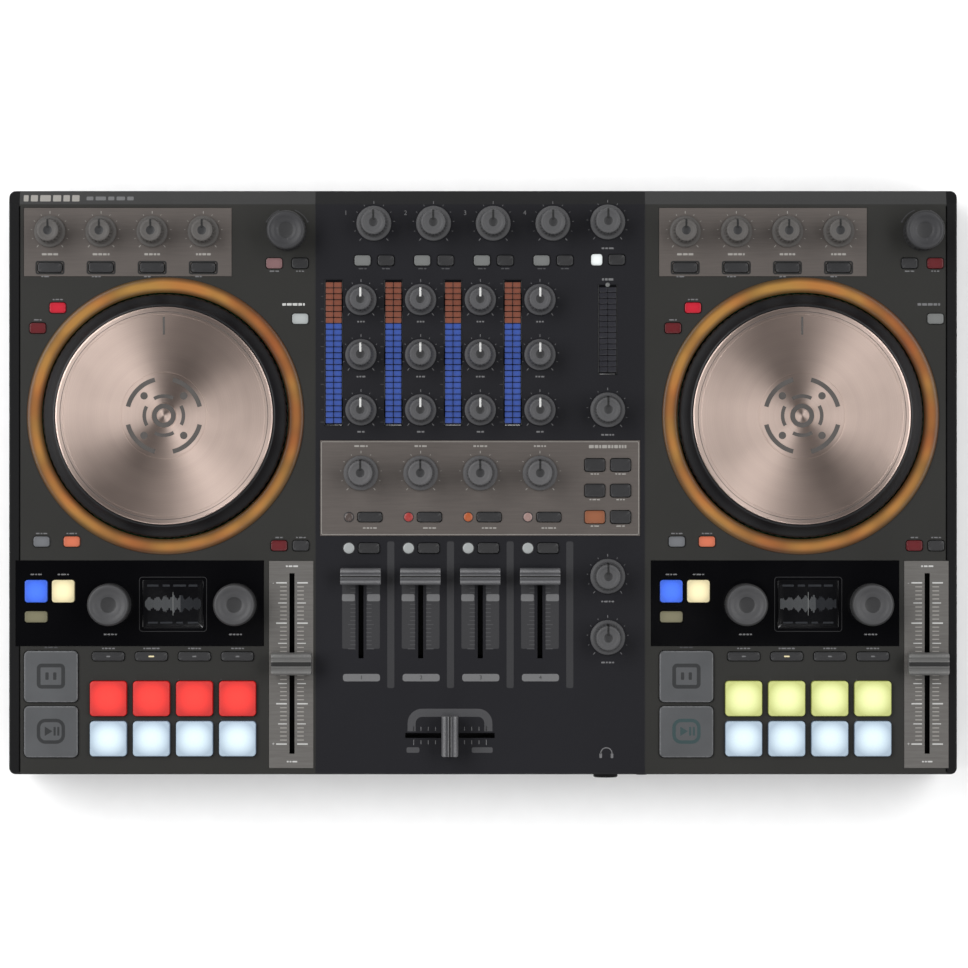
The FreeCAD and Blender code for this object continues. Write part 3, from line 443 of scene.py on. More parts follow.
def inlay_material():
    """Brushed grey-brown plates, and the gloss strips that carry the displays."""
    m = Mat("inlay_plates")
    x, y, z = m.xyz()
    ax = m.math("ABSOLUTE", x)
    # both strips: x from 52.7 to 51 mm outside the jog centre's left and right, at one band of y
    left = m.math("MULTIPLY", m.math("GREATER_THAN", x, -0.2902), m.math("LESS_THAN", x, -0.1354))
    right = m.math("MULTIPLY", m.math("GREATER_THAN", x, 0.1036), m.math("LESS_THAN", x, 0.2586))
    band = m.math("MULTIPLY", m.math("GREATER_THAN", y, -0.1005), m.math("LESS_THAN", y, -0.0460))
    strip = m.math("MULTIPLY", m.math("MAXIMUM", left, right), band)
    grainy = m.noise(900.0, 3.0, 0.6, stretch=(0.06, 1.0, 1.0))
    fine = m.noise(2600.0, 3.0, 0.6)
    slow = m.noise(22.0, 3.0, 0.5)
    tempo = m.math("LESS_THAN", y, -0.0460)
    plate = m.mix(m.ranged(slow, 0.3, 0.7, 0.0, 1.0), INLAY, tuple(q * 1.14 for q in INLAY))
    plate = m.mix(tempo, plate, TEMPO_INLAY)
    plate = m.mix(m.ranged(grainy, 0.35, 0.65, 0.0, 0.28), plate, tuple(q * 0.6 for q in INLAY))
    col = m.mix(strip, plate, (0.0016, 0.0016, 0.0020))
    m.set("Base Color", col)
    rough_plate = m.ranged(grainy, 0.3, 0.7, 0.40, 0.54)
    rough_gloss = m.ranged(slow, 0.3, 0.7, 0.10, 0.16)
    r = m.node("ShaderNodeMix", data_type="FLOAT")
    m.link(strip, r.inputs["Factor"])
    m.link(rough_plate, r.inputs[2])
    m.link(rough_gloss, r.inputs[3])
    m.set("Roughness", r.outputs[0])
    m.set("Specular IOR Level", 0.22)
    h = m.math("MULTIPLY", grainy, m.math("SUBTRACT", 1.0, strip))
    b = m.bump(h, 0.22, 0.00006)
    m.set("Normal", m.bump(fine, 0.03, 0.00003, under=b))
    return m.m


def disc_material():
    """Aluminium turned on a lathe: fine concentric lines that stretch a highlight into radial fans."""
    m = Mat("jog_plate_aluminium")
    x, y, z = m.xyz()
    rr = m.math("SQRT", m.math("ADD", m.math("MULTIPLY", x, x), m.math("MULTIPLY", y, y)))
    v = m.node("ShaderNodeCombineXYZ")
    m.link(rr, v.inputs[0])
    line = m.noise(2600.0, 4.0, 0.7, vector=v.outputs[0])
    band = m.noise(160.0, 3.0, 0.6, vector=v.outputs[0])
    smudge = m.noise(26.0, 3.0, 0.5)
    c = m.mix(m.ranged(line, 0.3, 0.7, 0.0, 1.0), (0.435, 0.340, 0.298), (0.540, 0.430, 0.380))
    c = m.mix(m.ranged(band, 0.35, 0.65, 0.0, 0.25), c, (0.395, 0.308, 0.270))
    m.set("Base Color", c)
    m.set("Metallic", 1.0)
    m.set("Roughness", m.math("ADD", m.ranged(line, 0.3, 0.7, 0.29, 0.39), m.ranged(smudge, 0.3, 0.7, -0.02, 0.04)))
    m.set("Anisotropic", 0.77)
    m.set("Anisotropic Rotation", 0.25)
    tg = m.node("ShaderNodeTangent", direction_type="RADIAL", axis="Z")
    m.set("Tangent", tg.outputs[0])
    m.set("Normal", m.bump(line, 0.10, 0.00002))
    return m.m


def ring_material():
    """The light guide round each jog wheel: amber, uneven, with brown, orange and yellow stretches."""
    m = Mat("light_ring_amber")
    x, y, z = m.xyz()
    rr = m.math("SQRT", m.math("ADD", m.math("MULTIPLY", x, x), m.math("MULTIPLY", y, y)))
    off = m.math("ABSOLUTE", m.math("SUBTRACT", rr, 0.0812))
    core = m.ranged(off, 0.0004, 0.0043, 1.0, 0.10, smooth=True)
    ang = m.math("ARCTAN2", y, x)
    leds = m.math("ADD", m.math("MULTIPLY", m.math("COSINE", m.math("MULTIPLY", ang, 24.0)), 0.07), 0.93)
    cloud = m.ranged(m.noise(30.0, 2.0, 0.5), 0.35, 0.65, 0.66, 1.16)
    lean = m.math("ADD", m.math("MULTIPLY", m.math("COSINE", m.math("SUBTRACT", ang, 1.95)), 0.16), 1.0)
    cloud = m.math("MULTIPLY", cloud, lean)
    tone = m.ranged(m.noise(22.0, 2.0, 0.5), 0.36, 0.64, 0.0, 1.0)
    glow = m.math("MULTIPLY", m.math("MULTIPLY", core, leds), cloud)
    col = m.mix(tone, srgb(182, 98, 44), srgb(170, 126, 58))
    m.set("Base Color", m.mix(tone, srgb(60, 38, 22), srgb(58, 42, 22)))
    m.set("Emission Color", m.mix(glow, (0.0, 0.0, 0.0), col))
    m.set("Emission Strength", 0.88)
    grain = m.noise(1200.0, 3.0, 0.6)
    m.set("Roughness", m.ranged(grain, 0.3, 0.7, 0.30, 0.42))
    m.set("Specular IOR Level", 0.25)
    m.set("Normal", m.bump(grain, 0.12, 0.00004))
    return m.m


def board_material():
    """Green solder mask with copper traces under it."""
    m = Mat("circuit_board_green")
    x, y, z = m.xyz()
    w = m.node("ShaderNodeTexWave", wave_type="BANDS", bands_direction="DIAGONAL")
    w.inputs["Scale"].default_value = 160.0
    w.inputs["Distortion"].default_value = 3.0
    w.inputs["Detail"].default_value = 1.0
    m.link(m.coords(), w.inputs["Vector"])
    trace = m.ranged(w.outputs["Fac"], 0.62, 0.68, 0.0, 1.0)
    fine = m.noise(1500.0, 2.0, 0.5)
    col = m.mix(trace, (0.006, 0.055, 0.022), (0.012, 0.095, 0.038))
    col = m.mix(m.ranged(fine, 0.3, 0.7, 0.0, 0.2), col, (0.004, 0.03, 0.012))
    tact = m.ranged(z, 0.0431, 0.0433, 0.0, 1.0)
    col = m.mix(tact, col, (0.02, 0.02, 0.022))
    m.set("Base Color", col)
    m.set("Roughness", m.ranged(fine, 0.3, 0.7, 0.28, 0.4))
    m.set("Normal", m.bump(trace, 0.2, 0.00005))
    return m.m


PANEL_DECK = (0.0180, 0.0178, 0.0164)
PANEL_MIXER = (0.0074, 0.0074, 0.0094)
# the rear slope's colours: a painted highlight, lighter than the top for the light the slope catches
PANEL_REAR_SLOPE_PAINTED_LIGHT = (0.034, 0.034, 0.034)
PANEL_REAR_SLOPE_MIXER_PAINTED_LIGHT = (0.0110, 0.0110, 0.0115)
INLAY = (0.066, 0.057, 0.052)
TEMPO_INLAY = (0.092, 0.088, 0.083)

mat_panel = panel_material()
mat_inlay = inlay_material()
mat_disc = disc_material()
mat_ring = ring_material()
mat_board = board_material()
mat_base = plastic("base_plastic", (0.012, 0.012, 0.013), 0.55, 0.3, 1900.0, 0.45).m
# edge= is the colour raised edges are lightened towards: partly wear, partly a painted highlight on the edges
mat_black = plastic("black_plastic", (0.006, 0.006, 0.007), 0.42, 0.35, 2600.0, 0.2, edge=(0.03, 0.03, 0.03)).m
mat_gloss = plastic("gloss_black", (0.0025, 0.0025, 0.003), 0.14, 0.35, 2600.0, 0.04).m
mat_rim = plastic("jog_rim_plastic", (0.0032, 0.0032, 0.0040), 0.38, 0.30, 2400.0, 0.25, edge=(0.012, 0.012, 0.013)).m
mat_knob = plastic("knob_soft_touch", (0.050, 0.050, 0.053), 0.55, 0.26, 2400.0, 0.25, edge=(0.125, 0.125, 0.128)).m
mat_filter = plastic("filter_knob_soft_touch", (0.062, 0.061, 0.063), 0.55, 0.26, 2400.0, 0.25, edge=(0.14, 0.14, 0.14)).m
mat_knob_dark = plastic("knob_crown_dark", (0.014, 0.014, 0.015), 0.5, 0.3, 2400.0, 0.25).m
mat_level = plastic("level_knob_soft_touch", (0.049, 0.049, 0.051), 0.55, 0.26, 2400.0, 0.25, edge=(0.125, 0.125, 0.128)).m
mat_fxknob = plastic("effect_knob_soft_touch", (0.062, 0.058, 0.055), 0.55, 0.26, 2400.0, 0.25, edge=(0.14, 0.13, 0.125)).m
mat_encoder = plastic("encoder_soft_touch", (0.037, 0.037, 0.039), 0.5, 0.30, 2400.0, 0.25, edge=(0.14, 0.14, 0.14)).m
mat_encoder_side = plastic("encoder_side_rubber", (0.017, 0.017, 0.018), 0.6, 0.25, 2400.0, 0.3, edge=(0.05, 0.05, 0.05)).m
mat_browse = plastic("browse_soft_touch", (0.021, 0.021, 0.023), 0.5, 0.30, 2400.0, 0.25, edge=(0.09, 0.09, 0.095)).m
mat_cap = plastic("fader_cap_plastic", (0.066, 0.066, 0.070), 0.45, 0.35, 2400.0, 0.22, edge=(0.30, 0.30, 0.30)).m
mat_tempo_cap = plastic("tempo_cap_plastic", (0.082, 0.081, 0.079), 0.45, 0.35, 2400.0, 0.22, edge=(0.28, 0.28, 0.27)).m
mat_white = ink("pointer_white", (0.46, 0.46, 0.45), 0.45).m
mat_dark_line_and_groove_shade = ink("pointer_and_groove_shade_dark", (0.006, 0.006, 0.006), 0.5).m
mat_steel = metal("plated_steel", (0.52, 0.52, 0.53), 0.28).m
mat_chrome = metal("nickel_plate", (0.46, 0.455, 0.44), 0.20).m
mat_socket = plastic("socket_body_plastic", (0.0032, 0.0032, 0.0036), 0.58, 0.12, 2600.0, 0.3).m
mat_housing = plastic("component_housing", (0.0045, 0.0045, 0.0050), 0.7, 0.10, 1500.0, 0.3).m
mat_oxide = metal("black_oxide_steel", (0.075, 0.075, 0.078), 0.42).m
mat_nylon = plastic("drive_nylon", (0.035, 0.035, 0.036), 0.5, 0.4, 1500.0, 0.3).m
mat_rubber = plastic("foot_rubber", (0.011, 0.011, 0.011), 0.78, 0.2, 1400.0, 0.6, edge=(0.03, 0.03, 0.03)).m
mat_btn = plastic("button_dark", (0.012, 0.012, 0.013), 0.42, 0.35, 2600.0, 0.2, edge=(0.05, 0.05, 0.05)).m
# rim= on the transport keys: a lighter edge band, partly wear and partly a painted highlight
mat_btn_grey = plastic("transport_grey", (0.050, 0.052, 0.055), 0.5, 0.3, 2600.0, 0.2, rim=(0.15, 0.15, 0.155)).m
mat_ink_pale = ink("ink_pale", (0.36, 0.36, 0.35)).m
mat_ink_mid = ink("ink_mid", (0.100, 0.100, 0.103)).m
mat_ink_dim = ink("ink_dim", (0.036, 0.036, 0.039)).m
mat_ink_dark = ink("ink_dark", (0.004, 0.004, 0.004)).m
mat_ink_faint = ink("ink_faint", (0.008, 0.008, 0.009)).m
mat_ink_soft = ink("ink_soft", (0.0165, 0.0165, 0.0185)).m
mat_ink_warm = ink("ink_warm", (0.22, 0.21, 0.195)).m
mat_phono_red = plastic("phono_red", (0.42, 0.012, 0.010), 0.4, 0.4).m
mat_phono_white = plastic("phono_white", (0.62, 0.61, 0.58), 0.4, 0.4).m
mat_red = lit("lit_red", srgb(190, 24, 46), 0.62).m
mat_dimred = lit("lit_dim_red", srgb(104, 24, 30), 0.40).m
mat_pink = lit("lit_pink", srgb(142, 108, 109), 0.38).m
mat_orange = lit("lit_orange", srgb(200, 108, 78), 0.66).m
mat_dimorange = lit("lit_dim_orange", srgb(150, 92, 62), 0.48).m
mat_white_lit = lit("lit_white", srgb(226, 231, 231), 0.74).m
mat_softwhite = lit("lit_soft_white", srgb(138, 140, 139), 0.22).m
mat_midwhite = lit("lit_mid_white", srgb(180, 185, 185), 0.45).m
mat_blue = lit("lit_blue", srgb(66, 112, 240), 0.86, falloff=0.5, power=2.4).m
mat_led_white = lit("led_white", srgb(184, 188, 188), 0.46, falloff=0.0).m
mat_led_red = lit("led_red", srgb(176, 62, 58), 0.55, falloff=0.0).m
mat_led_orange = lit("led_orange", srgb(186, 96, 52), 0.62, falloff=0.0).m
mat_led_pale = lit("led_pale", srgb(172, 142, 136), 0.52, falloff=0.0).m
mat_led_off = plastic("led_off", (0.052, 0.040, 0.036), 0.3, 0.3).m
mat_cream = lit("lit_cream", srgb(244, 230, 184), 0.78, falloff=0.5, power=2.4).m
mat_dimcream = lit("lit_dim_cream", srgb(120, 116, 92), 0.6).m
mat_dimgrey = lit("lit_dim_grey", srgb(112, 114, 118), 0.5).m
mat_pad_red = lit("pad_red", srgb(255, 58, 48), 0.84, falloff=0.52, rough=0.5, power=2.6, side=0.5, base=(0.22, 0.016, 0.014), low=0.16, rim=srgb(226, 18, 22)).m
mat_pad_white = lit("pad_white", srgb(226, 243, 250), 0.80, falloff=0.56, rough=0.5, power=2.4, side=0.45, base=(0.19, 0.23, 0.25), low=0.10, rim=srgb(165, 190, 226)).m
mat_pad_lime = lit("pad_lime", srgb(246, 250, 186), 0.80, falloff=0.50, rough=0.5, power=2.5, side=0.5, base=(0.22, 0.24, 0.11), low=0.10, rim=srgb(208, 214, 92)).m
mat_seg_blue = lit("segment_blue", srgb(54, 78, 150), 0.72, falloff=0.3, rough=0.3).m
mat_seg_orange = lit("segment_orange", srgb(142, 84, 66), 0.36, falloff=0.3, rough=0.3).m
mat_brass = metal("contact_brass", (0.80, 0.58, 0.26), 0.25).m
mat_seg_off = plastic("segment_off", (0.014, 0.014, 0.018), 0.3, 0.3).m
mat_screen = lit("screen_grey", srgb(96, 98, 100), 0.50, falloff=0.0, rough=0.2).m
mat_screen_dim = lit("screen_dim", srgb(52, 54, 58), 0.45, falloff=0.0, rough=0.2).m

# ------------------------------------------------------------------ CAD nodes that stay, with better finishes


def finish_node(name, mat, slot=None):
    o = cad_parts[name]
    o.data.materials.clear()
    o.data.materials.append(mat)
    return o


finish_node("top_case", mat_panel)
finish_node("bottom_case", mat_base)
finish_node("surface_inlays", mat_inlay)
finish_node("circuit_boards", mat_board)
finish_node("potentiometer_bodies", mat_housing)
finish_node("jog_drives", mat_nylon)

# ------------------------------------------------------------------ printing
PRINT = 0.035


class Print(Mesh):
    """Thin ink shapes on a flat face."""

    def __init__(self, z=TOP):
        super().__init__()
        self.z = z

    def poly(self, pts, mat=0):
        area = sum(pts[i][0] * pts[(i + 1) % len(pts)][1] - pts[(i + 1) % len(pts)][0] * pts[i][1] for i in range(len(pts)))
        self.prism(pts if area > 0 else pts[::-1], self.z - 0.02, self.z + PRINT, mat)

    def rect(self, cx, cy, w, h, r=0.0, mat=0):
        self.poly(round_rect(w, h, r, 4, cx, cy) if r > 0.02 else [(cx - w / 2, cy - h / 2), (cx + w / 2, cy - h / 2), (cx + w / 2, cy + h / 2), (cx - w / 2, cy + h / 2)], mat)

    def tick(self, cx, cy, r0, r1, deg, w, mat=0):
        """deg is clockwise from twelve o'clock."""
        a = math.radians(90.0 - deg)
        ux, uy = math.cos(a), math.sin(a)
        px, py = -uy * w / 2, ux * w / 2
        self.poly([(cx + ux * r0 + px, cy + uy * r0 + py), (cx + ux * r0 - px, cy + uy * r0 - py), (cx + ux * r1 - px, cy + uy * r1 - py), (cx + ux * r1 + px, cy + uy * r1 + py)], mat)

    def ribbon(self, inner, outer, closed, mat=0):
        """A band between two lines of points."""
        n = len(inner)
        verts = []
        for (a, b) in zip(inner, outer):
            verts += [(a[0], a[1], self.z - 0.02), (b[0], b[1], self.z - 0.02), (a[0], a[1], self.z + PRINT), (b[0], b[1], self.z + PRINT)]
        faces = []
        for i in range(n if closed else n - 1):
            a, b = 4 * i, 4 * ((i + 1) % n)
            faces += [(a + 2, b + 2, b + 3, a + 3), (a, a + 1, b + 1, b), (a + 1, a + 3, b + 3, b + 1), (a, b, b + 2, a + 2)]
        if not closed:
            e = 4 * (n - 1)
            faces += [(0, 2, 3, 1), (e, e + 1, e + 3, e + 2)]
        self.add(verts, faces, mat)

    def arc(self, cx, cy, r0, r1, a0, a1, mat=0, step=4.0):
        """a0 to a1 clockwise from twelve o'clock."""
        a0, a1 = min(a0, a1), max(a0, a1)
        n = max(int(abs(a1 - a0) / step), 2)
        full = abs(abs(a1 - a0) - 360.0) < 1e-6
        ts = [math.radians(90.0 - (a0 + (a1 - a0) * i / n)) for i in range(n if full else n + 1)]
        self.ribbon([(cx + r0 * math.cos(t), cy + r0 * math.sin(t)) for t in ts], [(cx + r1 * math.cos(t), cy + r1 * math.sin(t)) for t in ts], full, mat)

    def frame(self, cx, cy, w, h, r, t, mat=0, n=6, side=0):
        a = round_rect(w - 2 * t, h - 2 * t, max(r - t, 0.1), n, cx, cy, side)
        b = round_rect(w, h, r, n, cx, cy, side)
        self.ribbon(a[::-1], b[::-1], True, mat)

    def disc(self, cx, cy, r, mat=0, n=24):
        self.poly([(cx + r * math.cos(TAU * i / n), cy + r * math.sin(TAU * i / n)) for i in range(n)], mat)

    def label(self, cx, cy, width, h=1.0, mat=0, seed=0, align="C"):
        """Where the real thing has words: a few short bars."""
        rng = random.Random(seed)
        parts, total = [], 0.0
        while total < width - 1.0:
            w = min(rng.choice((1.2, 1.7, 2.3, 3.0)), width - total)
            parts.append(w)
            total += w + 0.55
        total -= 0.55
        x = cx - total / 2 if align == "C" else cx
        for w in parts:
            self.rect(x + w / 2, cy, w, h, 0.3, mat)
            x += w + 0.55

    def digits(self, text, cx, cy, size, mat=0):
        cu = bpy.data.curves.new("digits", "FONT")
        cu.body = text
        cu.size = size
        cu.align_x = "CENTER"
        cu.align_y = "CENTER"
        cu.resolution_u = 3
        cu.extrude = (PRINT + 0.02) / 2
        o = bpy.data.objects.new("digits", cu)
        bpy.context.scene.collection.objects.link(o)
        bpy.context.view_layer.update()
        dg = bpy.context.evaluated_depsgraph_get()
        me = bpy.data.meshes.new_from_object(o.evaluated_get(dg))
        zc = self.z + (PRINT - 0.02) / 2
        self.add([(cx + v.co.x, cy + v.co.y, zc + v.co.z) for v in me.vertices], [tuple(p.vertices) for p in me.polygons], mat)
        bpy.data.objects.remove(o)
        bpy.data.curves.remove(cu)
        bpy.data.meshes.remove(me)


PALE, MID, DIM, DARK, WARM, FAINT, SOFT = range(7)
INKS = [mat_ink_pale, mat_ink_mid, mat_ink_dim, mat_ink_dark, mat_ink_warm, mat_ink_faint, mat_ink_soft]


def knob_scale(pr, cx, cy, r, mat=MID, ends=True, n=11):
    for i in range(n):
        deg = -140.0 + 280.0 * i / (n - 1)
        long = i in (0, (n - 1) // 2, n - 1)
        pr.tick(cx, cy, r + 1.3, r + (2.9 if long else 2.2), deg, 0.42 if long else 0.3, mat)


# decks
for side, dx in DECKS.items():
    pr = Print()
    jx, jy = dx, JOG_Y
    for i in range(4):
        kx = jx - 71.6 + 31.7 * i
        knob_scale(pr, kx, jy + 114.4, 9.8, WARM)
        pr.label(kx, jy + 100.3, 10.5, 1.3, WARM, seed=11 + i)
        pr.label(kx - 3, jy + 86.5, 5.5, 0.9, MID, seed=31 + i)
        # a dark frame round each effect button: painted shadow round the button
        pr.frame(kx, jy + 92.0, 18.0, 8.4, 1.6, 1.05, DARK)
    # the browse encoder's turn arrows and labels
    for s in (-1, 1):
        pr.arc(jx + 75.5, jy + 114.4, 13.8, 14.3, 20 * s, 62 * s, DIM)
        a = math.radians(90 - 64 * s)
        tx, ty = jx + 75.5 + 14.05 * math.cos(a), jy + 114.4 + 14.05 * math.sin(a)
        pr.disc(tx, ty, 0.6, DIM, 12)
    pr.label(jx + 67.5, jy + 89.8, 6.0, 0.8, MID, seed=41)
    pr.label(jx + 83.5, jy + 89.8, 5.0, 0.8, MID, seed=42)
    pr.label(jx - 66.8, jy + 72.2, 7.0, 0.8, MID, seed=43)
    pr.label(jx - 79.2, jy + 59.6, 6.0, 0.8, MID, seed=44)
    pr.label(jx + 79.5, jy + 69.2, 15.0, 1.5, PALE if side == "left" else MID, seed=45)
    pr.label(jx - 58.1, jy - 72.9, 7.5, 0.8, MID, seed=46)
    pr.label(jx - 76.8, jy - 72.9, 7.0, 0.8, MID, seed=47)
    pr.label(jx + 70.5, jy - 75.4, 6.0, 0.8, MID, seed=48)
    pr.label(jx + 84.0, jy - 75.4, 6.0, 0.8, MID, seed=49)
    # the gloss strip's small print
    for ex in (-34.2, 43.5):
        pr.label(jx + ex, jy - 135.5, 8.0, 0.9, MID, seed=51)
    pr.label(jx - 80.2, jy - 98.3, 7.0, 0.8, MID, seed=52)
    pr.label(jx - 63.4, jy - 98.3, 7.0, 0.8, MID, seed=53)
    pr.frame(jx + 4.7, jy - 116.8, 42.0, 34.0, 2.0, 0.35, FAINT)
    # transport and pad labels
    pr.label(jx - 70.9, jy - 143.6, 9.0, 0.8, DIM, seed=54)
    for i in range(4):
        px = jx + 4.7 + 26.7 * (i - 1.5)
        pr.label(px, jy - 144.2, 8.0 if i != 1 else 10.0, 0.9, MID, seed=55 + i)
        for row in range(2):
            pr.digits(str(1 + i + 4 * row), px - 10.2, jy - 175.25 - 24.9 * row + 11.6, 1.5, DIM)
    # tempo scale: a ladder each side of the slot
    tx, ty = jx + 78.5, jy - 153.5
    for i in range(41):
        y = ty - 50.0 + 2.5 * i
        long = i % 10 == 0
        w = 6.6 if long else (5.4 if i % 5 == 0 else 4.2)
        for s in (-1, 1):
            pr.rect(tx + s * (3.2 + w / 2), y, w, 0.85 if long else 0.6, 0, PALE if i % 5 == 0 else WARM)
    pr.digits("0", tx + 11.6, ty, 2.2, PALE)
    pr.digits("+", tx - 11.6, ty - 50, 3.0, PALE)
    pr.digits("-", tx - 11.6, ty + 50, 3.0, PALE)
    pr.label(tx, jy - 93.2, 9.0, 1.0, PALE, seed=66)
    pr.label(tx, jy - 214.4, 7.0, 0.9, PALE, seed=67)
    pr.build("deck_print_" + side, INKS, "case", "panel_plastic")

# mixer
pr = Print()
for i, cx in enumerate(COLS):
    pr.digits(str(i + 1), cx - 9.4, MID_Y + 167.2, 4.0, MID)
    knob_scale(pr, cx + 8.0, MID_Y + 160.7, 10.9)
    for y in (113.4, 79.3, 45.1):
        knob_scale(pr, cx, MID_Y + y, 9.8)
        pr.label(cx, MID_Y + y - 13.6, 5.5, 1.0, MID, seed=int(70 + y))
    knob_scale(pr, cx, MID_Y + 5.9, 10.9, WARM)
    pr.label(cx + 1.0, MID_Y + 132.7, 5.0, 0.8, DIM, seed=81)
    pr.label(cx + 15.5, MID_Y + 132.7, 5.0, 0.8, DIM, seed=82)
    pr.label(cx, MID_Y + 22.6, 9.0, 1.1, WARM, seed=83 + i)
    pr.label(cx + 5.5, MID_Y - 28.2, 9.0, 0.9, WARM, seed=87 + i)
    for k in range(12):
        y = MID_Y + 37.5 + 7.8 * k
        pr.rect(cx - 24.0, y, 1.4 if k % 3 else 2.0, 0.35, 0, DIM)
    # channel fader: a ladder each side, a bright pair near the top, and a number plate below
    fy = MID_Y - 58.1
    for k in range(19):
        y = fy - 45.0 + 2.5 * k
        w = 4.6 if k % 6 == 0 else 3.2
        for s in (-1, 1):
            pr.rect(cx + s * (3.4 + w / 2), y, w, 0.55, 0, DIM)
    for s in (-1, 1):
        pr.z = TOP + 0.012
        pr.rect(cx + s * 7.8, MID_Y - 71.4, 8.0, 4.4, 1.0, MID)
        pr.z = TOP - 0.012
        pr.rect(cx + s * 7.6, fy - 24.5, 8.2, 41.0, 1.0, SOFT)
        pr.z = TOP
    pr.rect(cx + 0.3, MID_Y - 121.0, 23.0, 4.6, 1.6, MID)
    pr.z = TOP + 0.03
    pr.digits(str(i + 1), cx + 0.3, MID_Y - 121.0, 3.4, DARK)
    pr.z = TOP
for x in (-57.2, -20.2, 16.8, 53.8):
    pr.rect(x, MID_Y - 82.0, 4.4, 91.0, 1.2, SOFT)
# effect select
pr.label(RIGHT, MID_Y + 22.3, 24.0, 2.0, WARM, seed=92)
for y in (10.9, -5.0, -21.4):
    for x in (69.3, 85.3):
        pr.label(x, MID_Y + y - 5.6, 6.5, 0.8, WARM, seed=int(100 + x + y))
pr.frame(-1.85, MID_Y - 3.45, 197.0, 57.8, 1.0, 0.3, WARM)
# right column
for y, r in ((161.5, 10.9), (45.1, 10.9), (-58.1, 10.9), (-96.0, 10.9)):
    knob_scale(pr, RIGHT, MID_Y + y, r)
pr.label(RIGHT, MID_Y + 145.3, 8.0, 1.0, MID, seed=120)
pr.label(RIGHT, MID_Y + 126.0, 7.0, 1.4, MID, seed=121)
pr.label(RIGHT, MID_Y + 29.6, 8.0, 1.0, MID, seed=122)
pr.label(RIGHT, MID_Y - 73.8, 8.0, 1.0, MID, seed=123)
pr.label(RIGHT, MID_Y - 111.6, 8.0, 1.0, MID, seed=124)
# crossfader bracket
x0, y0 = -20.5, MID_Y - 156.9
hw, up = 26.3, 16.6
outer, inner = [], []
for (px, py) in ((-hw, 2.6), (-hw, up - 9.0)):
    outer.append((x0 + px, y0 + py))
    inner.append((x0 + px + 5.0, y0 + py))
for i in range(1, 9):
    a = math.radians(180 - 90 * i / 8)
    outer.append((x0 - hw + 9.0 + 9.0 * math.cos(a), y0 + up - 9.0 + 9.0 * math.sin(a)))
    inner.append((x0 - hw + 9.0 + 4.0 * math.cos(a), y0 + up - 9.0 + 4.0 * math.sin(a)))
for i in range(0, 9):
    a = math.radians(90 - 90 * i / 8)
    outer.append((x0 + hw - 9.0 + 9.0 * math.cos(a), y0 + up - 9.0 + 9.0 * math.sin(a)))
    inner.append((x0 + hw - 9.0 + 4.0 * math.cos(a), y0 + up - 9.0 + 4.0 * math.sin(a)))
outer.append((x0 + hw, y0 + 2.6))
inner.append((x0 + hw - 5.0, y0 + 2.6))
pr.ribbon(inner, outer, False, DIM)
for k in range(11):
    x = x0 - 22.5 + 4.5 * k
    if abs(x - x0) > 1:
        pr.rect(x, y0 + 4.2, 0.4, 2.4 if k % 5 else 3.4, 0, MID)
        pr.rect(x, y0 - 4.2, 0.4, 2.4 if k % 5 else 3.4, 0, MID)
pr.rect(x0 - 23.0, y0 - 9.0, 8.0, 3.4, 1.0, DIM)
pr.rect(x0 + 20.0, y0 - 9.0, 13.0, 3.4, 1.0, DIM)
# headphone mark near the front edge
hx, hy = 76.5, FRONT + 13.0
pr.arc(hx, hy, 3.2, 3.8, -95, 95, MID)
pr.rect(hx - 3.5, hy - 1.4, 1.6, 3.0, 0.5, MID)
pr.rect(hx + 3.5, hy - 1.4, 1.6, 3.0, 0.5, MID)
# section lines between the decks and the mixer
for x in (-104.0, 100.5):
    pr.rect(x, MID_Y - 3.0, 0.55, 346.0, 0, DARK)
pr.build("mixer_print", INKS, "case", "panel_plastic")

